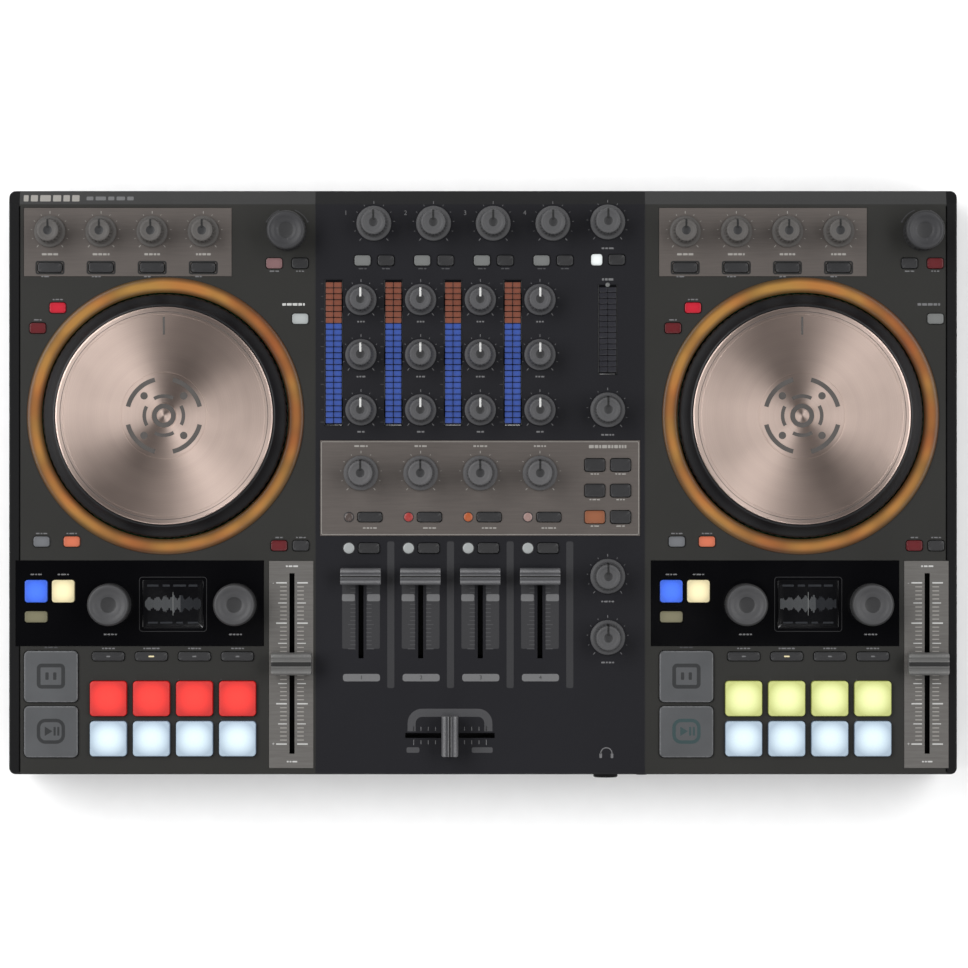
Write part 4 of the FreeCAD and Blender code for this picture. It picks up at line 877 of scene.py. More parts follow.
# ------------------------------------------------------------------ jog wheels
def jog(side):
    x, y = DECKS[side], JOG_Y
    body = "jog_wheel_" + side
    # the rim: a knurled flank, a rolled shoulder and a sloping collar down to the plate
    def knurl(t, r, z):
        if r < 74.0:
            return r
        fade = max(0.0, min(1.0, (z - 51.6) / 0.9, (58.4 - z) / 1.6))
        return r - 0.6 * fade * (0.5 - 0.5 * math.cos(t * 90)) ** 3
    rim = Mesh()
    prof = [(5.1, 48.0), (14.0, 48.0), (14.0, 60.0), (71.4, 60.0), (71.5, 50.7), (74.9, 50.7), (75.3, 51.2), (75.5, 52.0), (75.5, 52.6), (75.5, 54.0), (75.5, 56.0), (75.45, 56.8), (75.35, 57.5), (75.0, 58.3), (74.3, 59.0), (73.2, 59.9), (71.6, 61.4), (70.2, 62.9), (69.3, 64.1), (68.7, 64.9), (68.2, 65.25), (67.8, 65.3), (67.5, 65.1), (67.42, 64.5), (5.1, 64.5)]
    rim.lathe(x, y, prof, 1080, knurl, 0, closed=True)
    o = rim.build("jog_rim_" + side, [mat_rim], body, "jog_aluminium", 40, (x, y), ["jog_wheel_" + side])
    plate = Mesh()
    prof = [(67.2, 64.55), (67.2, 65.55), (67.05, 65.85), (66.75, 66.05), (66.3, 66.14), (65.0, 66.15), (62.6, 66.15), (62.45, 66.02), (62.2, 66.02), (62.05, 66.15), (45.0, 66.15), (27.0, 66.15), (26.85, 66.0), (26.5, 66.0), (26.35, 66.15), (24.0, 66.15), (8.2, 66.15), (8.05, 65.95), (7.7, 65.95), (7.55, 66.15), (4.2, 66.15), (4.0, 65.9), (2.0, 65.85)]
    plate.lathe(x, y, prof, 288, None, 0)
    plate.build("jog_plate_" + side, [mat_disc], body, "jog_aluminium", 8, (x, y))
    # a plain mark at the centre: three arcs, an inner ring and a circle of dots
    mark = Print(66.15)
    for k in range(4):
        a = 90 * k + 14
        mark.arc(x, y, 21.4, 24.2, a, a + 62, 0, 3)
        mark.arc(x, y, 11.0, 13.2, a + 46, a + 104, 0, 3)
        t = math.radians(90 * k + 45)
        mark.disc(x + 17.3 * math.cos(t), y + 17.3 * math.sin(t), 2.3, 0, 24)
    mark.arc(x, y, 4.4, 7.4, 0, 360, 0, 5)
    mark.arc(x, y, 64.0, 64.35, 0, 360, 0, 2)
    mark.poly([(x - 0.7, y + 50.0), (x + 0.7, y + 50.0), (x + 0.7, y + 61.0), (x - 0.7, y + 61.0)])
    mark.build("jog_mark_" + side, [mat_engraved], body, "jog_aluminium", 35, (x, y))
    axle = Mesh()
    axle.lathe(x, y, [(4.4, 14.0), (4.95, 14.6), (4.95, 64.2)], 48)
    axle.build("jog_axle_" + side, [mat_steel], body, "jog_aluminium", 35, (x, y))
    # the light ring, fixed to the case
    ring = Mesh()
    ring.lathe(x, y, [(77.3, 52.65), (84.4, 52.65), (84.4, 54.03), (85.9, 54.03), (85.9, 54.35), (85.6, 54.8), (84.9, 55.2), (83.8, 55.45), (82.6, 55.5), (79.4, 55.5), (78.0, 55.4), (77.0, 55.1), (76.5, 54.7), (76.5, 54.2), (77.3, 54.1)], 288, None, 0, closed=True)
    ring.build("light_ring_" + side, [mat_ring], "case", "light_ring", 40, (x, y), ["jog_light_rings"])


mat_engraved = plastic("engraved_mark", (0.050, 0.045, 0.042), 0.45, 0.4, 1800.0, 0.2).m
mat_icon = plastic("icon_dark", (0.017, 0.018, 0.019), 0.45, 0.25, 2600.0, 0.15).m
mat_icon_teal = plastic("icon_teal", (0.022, 0.042, 0.044), 0.45, 0.25, 2600.0, 0.15).m
for side in DECKS:
    jog(side)


# ------------------------------------------------------------------ knobs
def knob_mesh(skirt, body_r, top, flutes=24, dark_pointer=False):
    """A skirt, a fluted side that leans in, a rolled top edge and a dished crown with an inset pointer."""
    me = Mesh()
    seg = flutes * 8
    z0 = 54.75

    def flute(t, r, z):
        if z < z0 + 3.3 or z > top - 0.7 or r < body_r - 2.2:
            return r
        fade = min(1.0, (z - z0 - 3.3) / 1.2, (top - 0.7 - z) / 1.2)
        w = 0.5 - 0.5 * math.cos(t * flutes)
        return r - 0.55 * max(fade, 0.0) * (1.0 - w) ** 3

    hub = body_r - 0.75
    prof = [
        (skirt - 0.35, z0), (skirt, z0 + 0.35), (skirt, z0 + 1.1), (skirt - 0.2, z0 + 1.55), (skirt - 0.6, z0 + 1.85),
        (skirt - 1.4, z0 + 2.2), (body_r + 0.5, z0 + 2.7), (body_r + 0.12, z0 + 3.2),
        (body_r, z0 + 3.9), (body_r - 0.1, z0 + 4.8), (body_r - 0.3, z0 + 7.5), (body_r - 0.5, top - 3.0), (body_r - 0.6, top - 1.9), (body_r - 0.68, top - 1.2),
        (hub - 0.1, top - 0.75), (hub - 0.3, top - 0.35), (hub - 0.7, top - 0.1), (hub - 1.2, top),
        (hub - 1.9, top - 0.08), (hub - 2.3, top - 0.3), (hub - 2.8, top - 0.42), (hub - 3.4, top - 0.46), (2.75, top - 0.5), (2.55, top - 0.62), (1.0, top - 0.66),
    ]
    mats = [0] * 22 + [1] * 2
    me.lathe(0, 0, prof, seg, flute, mats)
    # pointer: an inset bar from the crown out over the edge and down the side
    w = 0.62
    pts = [(1.6, top - 0.44), (hub - 2.5, top - 0.34), (hub - 1.9, top - 0.04), (hub - 1.1, top + 0.04), (hub - 0.65, top - 0.05), (hub - 0.25, top - 0.3), (body_r - 0.55, top - 1.1), (body_r - 0.42, top - 2.2), (body_r - 0.1, z0 + 5.4), (body_r + 0.12, z0 + 3.6)]
    verts, faces = [], []
    for i, (r, z) in enumerate(pts):
        verts += [(-w, r, z), (w, r, z), (w, r - 0.45, z - 0.45), (-w, r - 0.45, z - 0.45)]
    for i in range(len(pts) - 1):
        a, b = 4 * i, 4 * (i + 1)
        for p, q in ((0, 1), (1, 2), (2, 3), (3, 0)):
            faces.append((a + p, a + q, b + q, b + p))
    e = 4 * (len(pts) - 1)
    faces += [(3, 2, 1, 0), (e, e + 1, e + 2, e + 3)]
    me.add(verts, faces, 2)
    # shaft
    me.lathe(0, 0, [(2.95, 44.3), (2.95, top - 4.2)], 32, None, 3)
    return me


def place_knob(mesh, node, mats, slot, smooth=40):
    return mesh.build(node + "_body", mats, node, slot, smooth, replaces=[node], place=node_centre(node))


tone = knob_mesh(9.7, 7.55, 68.95, 20)
level = knob_mesh(10.8, 8.45, 69.95, 24)
for i in range(1, 5):
    for name in ("high_eq_knob_%d", "mid_eq_knob_%d", "low_eq_knob_%d"):
        place_knob(tone, name % i, [mat_knob, mat_knob_dark, mat_white, mat_steel], "knob_rubber")
    for name, look in (("gain_knob_%d", mat_level), ("filter_knob_%d", mat_filter)):
        place_knob(level, name % i, [look, mat_knob_dark, mat_dark_line_and_groove_shade, mat_steel], "knob_rubber")
    for side in DECKS:
        place_knob(tone, "effect_knob_%s_%d" % (side, i), [mat_fxknob, mat_knob_dark, mat_dark_line_and_groove_shade, mat_steel], "knob_rubber")
for name in ("main_volume_knob", "booth_volume_knob", "cue_mix_knob", "cue_volume_knob"):
    place_knob(level, name, [mat_level, mat_knob_dark, mat_dark_line_and_groove_shade, mat_steel], "knob_rubber")


def encoder_mesh(r, top, ridges=36):
    """An endless encoder: a ridged side, a rolled collar and a dished top; the collar's edge is lightened, partly wear
    and partly a painted highlight.
    """
    me = Mesh()
    z0 = 54.75

    def ridge(t, q, z):
        if z < z0 + 1.4 or z > top - 1.7 or q < r - 1.0:
            return q
        fade = min(1.0, (z - z0 - 1.4) / 0.8, (top - 1.7 - z) / 0.8)
        return q - 0.5 * max(fade, 0.0) * (0.5 - 0.5 * math.cos(t * ridges)) ** 0.7

    prof = [(r - 0.5, z0), (r - 0.1, z0 + 0.3), (r - 0.05, z0 + 1.2), (r - 0.05, z0 + 2.3), (r - 0.05, (z0 + top) / 2), (r - 0.1, top - 2.6), (r - 0.1, top - 1.6),
            (r - 0.25, top - 1.0), (r - 0.65, top - 0.45), (r - 1.2, top - 0.12), (r - 1.9, top), (r - 2.9, top - 0.05), (r - 3.6, top - 0.3), (r - 4.4, top - 0.7), (r - 5.6, top - 0.95), (4.95, top - 1.08), (4.7, top - 1.28), (4.3, top - 1.4), (1.0, top - 1.42)]
    mats = [3] * 9 + [0] * 6 + [1] * 3
    me.lathe(0, 0, prof, ridges * 8, ridge, mats)
    me.lathe(0, 0, [(2.95, 44.3), (2.95, top - 4.2)], 32, None, 2)
    return me


deck_encoder = encoder_mesh(13.2, 69.45, 32)
browse = encoder_mesh(12.2, 71.95, 30)
for side in DECKS:
    for name in ("move_encoder_", "loop_encoder_"):
        place_knob(deck_encoder, name + side, [mat_encoder, mat_knob_dark, mat_steel, mat_encoder_side], "encoder_rubber")
    place_knob(browse, "browse_encoder_" + side, [mat_browse, mat_knob_dark, mat_steel, mat_encoder_side], "encoder_rubber")


# ------------------------------------------------------------------ faders
def fader_mesh(length, depth, turn=False, band=0.5):
    """A cap with finger hollows each side of a centre ridge that carries the line. The line is dark down in its groove:
    partly a printed line, partly painted shade in the groove.
    """
    me = Mesh()
    h = depth / 2
    z0, z1 = 57.05, 66.95
    prof = [(-h + 0.5, z0), (h - 0.5, z0), (h - 0.12, z0 + 0.15), (h, z0 + 0.6), (h, z1 - 4.0), (h - 0.2, z1 - 2.4), (h - 0.75, z1 - 0.9), (h - 1.3, z1 - 0.25), (h - 1.9, z1 - 0.02),
            (h - 2.6, z1 - 0.12)]
    inner = band + 0.4
    for f in (0.25, 0.5, 0.75, 0.9):
        yy = (h - 2.6) * (1 - f) + inner * f
        prof.append((yy, z1 - 0.12 - 1.15 * math.sin(math.pi * min(f, 1.0)) * 0.9))
    prof += [(inner, z1 - 0.35), (band + 0.25, z1 - 0.28), (band + 0.05, z1 - 0.28), (band, z1 - 0.62)]
    full = prof + [(-y, z) for y, z in prof[::-1] if True]
    # drop the doubled bottom point
    half = prof[1:]
    outline = half + [(-y, z) for y, z in half[::-1]]
    loops, mats = [], []
    xs = [(-length / 2, 1.0), (-length / 2 + 0.15, 0.5), (-length / 2 + 0.5, 0.15), (-length / 2 + 1.0, 0.0)]
    xs = xs + [(-length / 4, 0.0), (0.0, 0.0), (length / 4, 0.0)] + [(-a, b) for a, b in xs[::-1]]
    cz = (z0 + z1) / 2
    for x, tuck in xs:
        loop = []
        for y, z in outline:
            k = 1.0 - 0.09 * tuck
            zz = cz + (z - cz) * (1.0 - 0.07 * tuck) - (0.0 if z < cz else 0.0)
            loop.append((x, y * k, zz))
        loops.append(loop)
    k = len(outline)
    verts, faces, fm = [], [], []
    for loop in loops:
        verts += loop
    # the dark line in the centre groove: partly a printed line, partly painted shade in the groove
    dark_line_and_groove_shade = {len(half) - 1}
    for j in range(len(loops) - 1):
        for i in range(k):
            n = (i + 1) % k
            faces.append((j * k + i, j * k + n, (j + 1) * k + n, (j + 1) * k + i))
            fm.append(1 if i in dark_line_and_groove_shade or i == len(half) - 2 or i == len(half) else 0)
    for base, flip in ((0, False), ((len(loops) - 1) * k, True)):
        mid = len(verts)
        verts.append((verts[base][0], 0.0, cz))
        for i in range(k):
            n = (i + 1) % k
            faces.append((base + n, base + i, mid) if not flip else (base + i, base + n, mid))
            fm.append(0)
    me.add(verts, faces, fm)
    # stem
    me.stack([[(x, y, z) for x, y in round_rect(1.5, 4.8, 0.4, 3)] for z in (45.1, 57.5)], 2)
    if turn:
        me.v = [(-y, x, z) for x, y, z in me.v]
    return me


channel = fader_mesh(24.9, 10.4)
cross = fader_mesh(24.9, 10.4, turn=True)
tempo = fader_mesh(24.9, 13.9, band=1.3)
for i in range(1, 5):
    place_knob(channel, "channel_fader_%d" % i, [mat_cap, mat_dark_line_and_groove_shade, mat_steel], "fader_cap")
place_knob(cross, "crossfader", [mat_cap, mat_dark_line_and_groove_shade, mat_steel], "fader_cap")
for side in DECKS:
    place_knob(tempo, "tempo_fader_" + side, [mat_tempo_cap, mat_dark_line_and_groove_shade, mat_steel], "fader_cap")

# ------------------------------------------------------------------ pads
for side, dx in DECKS.items():
    me = Mesh()
    for row in range(2):
        for i in range(4):
            px = dx + 4.7 + 26.7 * (i - 1.5)
            py = JOG_Y - 175.25 - 24.9 * row
            mat = row if side == "left" else (2 if row == 0 else 1)
            cap(me, px, py, 22.7, 21.7, 2.2, 49.0, 56.55, 0.9, mat, crown=0.05, steps=5, n=8)
    me.stack([[(x, y, z) for x, y in round_rect(104.8, 48.6, 2.0, 4, dx + 4.7, JOG_Y - 175.25 - 12.45)] for z in (47.5, 49.0)], 3)
    me.build("performance_pads_" + side, [mat_pad_red, mat_pad_white, mat_pad_lime, mat_rubber], "performance_pads", "pad_silicone", 40, replaces=["performance_pads"])

# ------------------------------------------------------------------ buttons
SIZES = {
    "effect": (15.0, 6.0, 1.2, 1.6), "small": (10.0, 6.5, 1.2, 1.6), "square": (14.0, 14.0, 1.0, 1.8), "bar": (14.0, 7.0, 1.0, 1.6),
    "mode": (20.0, 5.5, 1.2, 1.6), "select": (12.5, 8.0, 1.2, 1.6), "cue": (13.0, 6.5, 1.2, 1.6), "dot": (7.0, 7.0, 1.2, 1.6),
    "transport": (33.5, 32.0, 1.6, 3.0),
}
BUTTON_MATS = [mat_btn, mat_red, mat_dimred, mat_pink, mat_orange, mat_white_lit, mat_softwhite, mat_blue, mat_cream, mat_dimcream, mat_dimgrey, mat_btn_grey, mat_black, mat_midwhite, mat_dimorange]
B_DARK, B_RED, B_DIMRED, B_PINK, B_ORANGE, B_WHITE, B_SOFT, B_BLUE, B_CREAM, B_DIMCREAM, B_DIMGREY, B_GREY, B_BLACK, B_MIDWHITE, B_DIMORANGE = range(15)


def button(me, kind, x, y, look):
    w, d, rise, r = SIZES[kind]
    z1 = TOP + rise
    big = kind == "transport"
    cap(me, x, y, w - 0.1, d - 0.1, r, 49.4, z1 - 0.05, 0.7 if big else 0.45, look, steps=4, n=5, dish=0.35 if big else 0.0)
    me.stack([[(px, py, z) for px, py in round_rect(w + 1.5, d + 1.5, 1.0, 2, x, y)] for z in (48.45, 50.15)], B_BLACK)


for side, dx in DECKS.items():
    me = Mesh()
    left = side == "left"
    jx, jy = dx, JOG_Y
    for i in range(4):
        button(me, "effect", jx - 71.6 + 31.7 * i, jy + 92.0, B_DARK)
    button(me, "small", jx + 67.5, jy + 94.7, B_PINK if left else B_DARK)
    button(me, "small", jx + 83.5, jy + 94.7, B_DARK if left else B_DIMRED)
    button(me, "small", jx - 66.8, jy + 67.1, B_RED)
    button(me, "small", jx - 79.2, jy + 54.5, B_DIMRED)
    button(me, "small", jx + 83.6, jy + 60.3, B_MIDWHITE if left else B_SOFT)
    button(me, "small", jx - 58.1, jy - 77.9, B_ORANGE)
    button(me, "small", jx - 76.8, jy - 77.9, B_DIMGREY)
    button(me, "small", jx + 70.5, jy - 80.4, B_DIMRED)
    button(me, "small", jx + 84.0, jy - 80.4, B_DARK)
    button(me, "square", jx - 80.2, jy - 108.7, B_BLUE)
    button(me, "square", jx - 63.4, jy - 108.7, B_CREAM)
    button(me, "bar", jx - 80.2, jy - 124.6, B_DIMCREAM)
    for i in range(4):
        button(me, "mode", jx + 4.7 + 26.7 * (i - 1.5), jy - 149.1, B_DARK)
    button(me, "transport", jx - 70.9, jy - 161.6, B_GREY)
    button(me, "transport", jx - 70.9, jy - 195.8, B_GREY)
    me.build("deck_buttons_" + side, BUTTON_MATS, "push_buttons", "button_plastic", 40, replaces=["push_buttons"])

    # the marks on the cue and play keys: a frame round a symbol, let into the dished top
    icons = Print(0.0)
    ix, iy = jx - 70.9, jy - 161.6
    icons.frame(ix, iy + 0.3, 17.5, 15.5, 3.0, 2.3, 0, 6, 6)
    icons.rect(ix - 2.4, iy + 0.3, 2.0, 4.6, 0.5, 0)
    icons.rect(ix + 2.4, iy + 0.3, 2.0, 4.6, 0.5, 0)
    iy = jy - 195.8
    icons.frame(ix, iy + 0.3, 17.5, 15.5, 5.4, 2.1, 1, 6, 6)
    icons.poly([(ix - 3.8, iy - 2.6), (ix + 0.9, iy + 0.3), (ix - 3.8, iy + 3.2)], 1)
    icons.rect(ix + 2.3, iy + 0.3, 1.3, 5.4, 0.3, 1)
    icons.rect(ix + 4.6, iy + 0.3, 1.3, 5.4, 0.3, 1)
    # the marks follow the dish of the keys
    w, d, rise, _ = SIZES["transport"]
    lay = []
    for px, py, pz in icons.v:
        ky = jy - 161.6 if py > jy - 178.7 else jy - 195.8
        lay.append((px, py, TOP + rise - 0.05 - dished(px - ix, py - ky, w - 1.5, d - 1.5, 0.35) + (0.04 if pz > 0 else -0.15)))
    icons.v = lay
    icons.build("transport_icons_" + side, [mat_icon, mat_icon if left else mat_icon_teal], "push_buttons", "button_plastic", 35)
    legends = Print(TOP + 1.2 - 0.03)
    for i in range(4):
        legends.rect(jx + 4.7 + 26.7 * (i - 1.5), jy - 149.1, 3.4 if i == 1 else 2.4, 0.9, 0.3, 1 if i == 1 else 0)
    legends.build("mode_legends_" + side, [mat_ink_mid, mat_cream], "push_buttons", "button_plastic", 35)

me = Mesh()
leds = Mesh()
for i, cx in enumerate(COLS):
    button(me, "small", cx + 1.0, MID_Y + 137.7, B_SOFT)
    button(me, "small", cx + 15.5, MID_Y + 137.7, B_DARK)
    button(me, "effect", cx + 5.5, MID_Y - 21.4, B_DARK)
    button(me, "cue", cx + 5.0, MID_Y - 40.7, B_DARK)
    for y, r, look in ((-21.4, 2.7, (5, 1, 2, 3)[i]), (-40.7, 3.3, 0)):
        leds.lathe(cx - 7.5, MID_Y + y, [(r + 0.55, 53.96), (r + 0.55, 54.14), (r, 54.26)], 48, None, 4, high=False)
        leds.lathe(cx - 7.5, MID_Y + y, [(r + 0.02, 54.0), (r, 54.24), (r - 0.3, 54.46), (r - 0.9, 54.62), (r - 1.8, 54.7), (0.3, 54.72)], 48, None, look)
button(me, "dot", 70.5, MID_Y + 138.2, B_WHITE)
button(me, "small", 82.9, MID_Y + 138.2, B_DARK)
for x in (69.3, 85.3):
    for y in (10.9, -5.0, -21.4):
        button(me, "select", x, MID_Y + y, B_DIMORANGE if (x < 70 and y < -20) else B_DARK)
me.build("mixer_buttons", BUTTON_MATS, "push_buttons", "button_plastic", 40)
leds.lathe(RIGHT, MID_Y + 122.6, [(1.4, 54.0), (1.38, 54.2), (1.15, 54.42), (0.75, 54.55), (0.3, 54.6)], 32, None, 6)
leds.build("indicator_leds", [mat_led_white, mat_led_red, mat_led_orange, mat_led_pale, mat_black, mat_led_off, mat_softwhite], "case", "display_glass", 45)


# ------------------------------------------------------------------ meters and displays
def bar_meter(x, y, w, length, lit_rows, rows, mats, glass, gap=0.45):
    """A smoked lens with two columns of segments flush in its face."""
    cap(glass, x, y, w - 0.25, length - 0.25, 0.9, 51.0, 54.22, 0.25, 0, steps=3, n=4)
    pitch = (length - 3.0) / rows
    for i in range(rows):
        yy = y - length / 2 + 1.5 + pitch * (i + 0.5)
        for s in (-1, 1) if w > 9 else (0,):
            ww = (w - 1.7) / 2 - 0.22 if w > 9 else w - 3.0
            cap(glass, x + s * (ww / 2 + 0.22), yy, ww, pitch - gap, 0.3, 54.05, 54.27, 0.06, mats(i, rows), steps=2, n=2)


glass = Mesh()
for cx in COLS:
    bar_meter(cx - 16.9, MID_Y + 80.5, 11.5, 90.8, 0, 24, lambda i, n: 2 if i >= n - 7 else 1, glass)
bar_meter(RIGHT, MID_Y + 94.8, 12.0, 56.0, 0, 15, lambda i, n: 3, glass)
glass.build("level_meters", [mat_gloss, mat_seg_blue, mat_seg_orange, mat_seg_off], "case", "display_glass", 40, replaces=["meters_and_displays"])
for side, dx in DECKS.items():
    scr = Mesh()
    x, y = dx + 4.7, JOG_Y - 116.8
    cap(scr, x, y, 37.8, 29.8, 0.9, 50.65, 53.92, 0.3, 0, steps=3, n=4)
    scr.stack([[(px, py, z) for px, py in round_rect(44.0, 34.0, 1.0, 3, x, y)] for z in (43.2, 50.6)], 3)
    rng = random.Random(5 if side == "left" else 9)
    n = 60
    for i in range(n):
        xx = x - 17.4 + 34.8 * (i + 0.5) / n
        a = 0.35 + 0.65 * abs(math.sin(i * 0.37 + (0 if side == "left" else 1.1))) * rng.uniform(0.55, 1.0)
        hgt = 1.0 + 10.5 * a * (0.55 + 0.45 * math.cos((i - n / 2) * 0.045))
        scr.prism(round_rect(34.8 / n - 0.16, hgt, 0.05, 1, xx, y + 0.3), 53.88, 53.96, 1 if i < n * 0.62 else 2)
    scr.prism(round_rect(0.35, 14.5, 0.05, 1, x, y + 0.3), 53.88, 53.985, 4)
    for k in range(4):
        scr.prism(round_rect((7.0, 4.5, 8.0, 5.5)[k], 1.3, 0.2, 2, x - 12.5 + 8.3 * k, y + 11.6), 53.88, 53.96, 2)
        scr.prism(round_rect((6.0, 7.5, 4.0, 6.5)[k], 1.1, 0.2, 2, x - 12.5 + 8.3 * k, y - 11.4), 53.88, 53.96, 2)
    scr.build("display_" + side, [mat_gloss, mat_screen, mat_screen_dim, mat_black, mat_softwhite], "case", "display_glass", 40, replaces=["meters_and_displays"])

# ------------------------------------------------------------------ feet and screws
feet = Mesh()
for x in (-262.0, 0.0, 262.0):
    for y in (-145.5, 154.5):
        feet.lathe(x, y, [(9.2, 0.35), (9.6, 0.0), (10.4, 0.12), (10.85, 0.6), (10.95, 1.4), (10.95, 4.6), (10.6, 4.9), (10.6, 5.6), (10.95, 5.9), (10.95, 6.45)], 72, None, 0)
feet.build("rubber_feet_pads", [mat_rubber], "case", "foot_rubber", 40, replaces=["rubber_feet"])

screws = Mesh()
for x, y in ((-286.5, 174.0), (286.5, 174.0), (-103, 174.0), (99, 163.0), (-286.5, -22.0), (286.5, -22.0), (-103, -15.5), (99, -15.5), (-133, -162.0), (-75, -164.0), (60, -164.0), (261, -162.0)):
    turn = random.uniform(0, 90)

    def recess(t, r, z, turn=math.radians(turn)):
        # four slots of a cross, cut by pulling the inner loops to the cross's outline
        if r > 1.9:
            return r
        q = (t - turn) % (math.pi / 2)
        d = min(q, math.pi / 2 - q)
        return r * (1.0 if d < 0.30 else max(0.34, 0.30 / max(d, 0.30) * 0.55))
    # head upwards from the recess floor: centre of the cross, its lip, the domed face, the side, the shank
    prof = [(0.9, 8.0), (1.75, 7.6), (1.8, 6.62), (2.1, 6.52), (2.55, 6.62), (2.75, 7.0), (2.78, 7.6), (2.78, 8.95), (1.5, 9.0), (1.5, 17.2), (0.9, 17.9)]
    screws.lathe(x, y, prof, 64, recess, 0)
screws.build("case_screw_set", [mat_oxide], "case", "screw_steel", 40, replaces=["case_screws"])


# ------------------------------------------------------------------ sockets
class Sockets(Mesh):
    def turn_y(self, cx, cz, profile, seg=48, mat=0, shape=None, closed=False, low=True, high=True):
        """Turned about an axis along Y. profile is (r, y), outer side with y rising."""
        loops = []
        for r, y in profile:
            loop = []
            for i in range(seg):
                t = TAU * i / seg
                q = shape(t, r, y) if shape else r
                loop.append((cx + q * math.cos(t), y, cz - q * math.sin(t)))
            loops.append(loop)
        if closed:
            self.stack(loops + [loops[0]], mat, False, False)
        else:
            self.stack(loops, mat, low, high)

    def block(self, cx, cz, w, h, y0, y1, mat=0, r=0.4):
        self.stack([[(cx + a, y, cz - b) for a, b in round_rect(w - 2 * t, h - 2 * t, r, 3)] for y, t in ((y0, 0.25), (y0 + 0.25, 0.0), (y1 - 0.25, 0.0), (y1, 0.25))], mat)


so = Sockets()
KNURL = lambda t, r, y: r - 0.16 * (0.5 - 0.5 * math.cos(40 * t)) if r > 3.6 else r


def jack(so, x, face, out, nut, bore, length, s, finish=0):
    """A round nut in front of the wall, the threaded bush in it, a black insert and the bored body behind."""
    f = face
    pts = [(bore + 0.9, 0.0), (nut, 0.0), (nut, out - 0.5), (nut - 0.25, out - 0.15), (nut - 0.7, out), (bore + 1.3, out), (bore + 1.15, out - 0.15), (bore + 0.9, out - 0.3)]
    ring = [(r, f + s * d) for r, d in pts]
    so.turn_y(x, SOCKET_Z, ring if s > 0 else ring[::-1], 80, finish, KNURL, closed=True)
    pts = [(bore, 0.2), (bore + 0.9, 0.2), (bore + 0.9, out - 0.35), (bore + 0.7, out - 0.2), (bore + 0.15, out - 0.2), (bore, out - 0.4)]
    ring = [(r, f + s * d) for r, d in pts]
    so.turn_y(x, SOCKET_Z, ring if s > 0 else ring[::-1], 64, 1, None, closed=True)
    pts = [(bore, -length), (bore + 1.6, -length), (bore + 1.6, -0.05), (bore, -0.05)]
    ring = [(r, f + s * d) for r, d in pts]
    so.turn_y(x, SOCKET_Z, ring if s > 0 else ring[::-1], 64, 1, None, closed=True)


def socket_body(so, x, z, w, h, hole, face, deep, s, mat=5):
    """The moulded block behind a socket: it fills its opening in the case. hole is a radius, or half sizes."""
    outer, inner = [], []
    for i in range(64):
        c, q = math.cos(TAU * (i + 0.5) / 64), math.sin(TAU * (i + 0.5) / 64)
        k = 1.0 / max(abs(c) / (w / 2), abs(q) / (h / 2))
        outer.append((c * k, q * k))
        k = hole if isinstance(hole, float) else 1.0 / max(abs(c) / hole[0], abs(q) / hole[1])
        inner.append((c * k, q * k))
    loops = []
    for pts, d, t in ((inner, deep, 1.0), (outer, deep, 1.0), (outer, 0.25, 1.0), (outer, 0.0, 0.975), (inner, 0.0, 1.0)):
        loops.append([(x + a * t, face - s * d, z - b * t) for a, b in pts])
    if s < 0:
        loops = loops[::-1]
    so.stack(loops + [loops[0]], mat, False, False)


for x in (205.0, 183.0, 151.0, 129.0, -70.0):
    socket_body(so, x, SOCKET_Z, 15.4, 13.4, 4.95, REAR - 0.02, 20.0, 1)
for x in (72.0, 57.0, 29.0, 14.0, -20.0, -35.0):
    socket_body(so, x, SOCKET_Z, 13.4, 13.4, 4.06, REAR - 0.02, 6.0, 1)
socket_body(so, 236.0, SOCKET_Z - 0.5, 13.4, 12.4, (4.7, 4.35), REAR - 0.02, 15.0, 1)
socket_body(so, 76.5, SOCKET_Z, 15.4, 13.4, 4.95, FRONT + 0.02, 20.0, -1)
socket_body(so, 99.0, SOCKET_Z, 10.4, 9.4, 3.45, FRONT + 0.02, 14.0, -1)
for x in (205.0, 183.0, 151.0, 129.0, -70.0):
    jack(so, x, REAR, 2.0, 6.15, 3.32, 20.0, 1)
jack(so, 76.5, FRONT, 3.0, 7.55, 3.32, 20.0, -1, 5)
jack(so, 99.0, FRONT, 1.5, 3.85, 1.82, 14.0, -1, 5)
for x, look in ((72.0, 2), (57.0, 3), (29.0, 2), (14.0, 3), (-20.0, 2), (-35.0, 3)):
    # metal flange and barrel, a coloured insulator in its mouth, and the centre contact
    so.turn_y(x, SOCKET_Z, [(3.4, REAR - 6.0), (4.05, REAR - 6.0), (4.05, REAR), (5.55, REAR), (5.55, REAR + 1.1), (5.2, REAR + 1.45), (4.15, REAR + 1.45), (4.13, REAR + 8.5), (3.85, REAR + 8.95), (3.5, REAR + 8.95), (3.4, REAR + 8.7)], 64, 0, None, closed=True)
    so.turn_y(x, SOCKET_Z, [(2.0, REAR - 6.0), (3.38, REAR - 6.0), (3.38, REAR + 8.2), (2.2, REAR + 8.2), (2.0, REAR + 8.0)], 48, look, None, closed=True)
    so.turn_y(x, SOCKET_Z, [(1.72, REAR - 6.0), (1.98, REAR - 6.0), (1.98, REAR + 7.2), (1.72, REAR + 7.2)], 32, 0, None, closed=True)
    so.turn_y(x, SOCKET_Z, [(5.55, REAR), (6.5, REAR), (6.5, REAR + 0.12), (5.6, REAR + 0.12)], 48, look, None, closed=True)
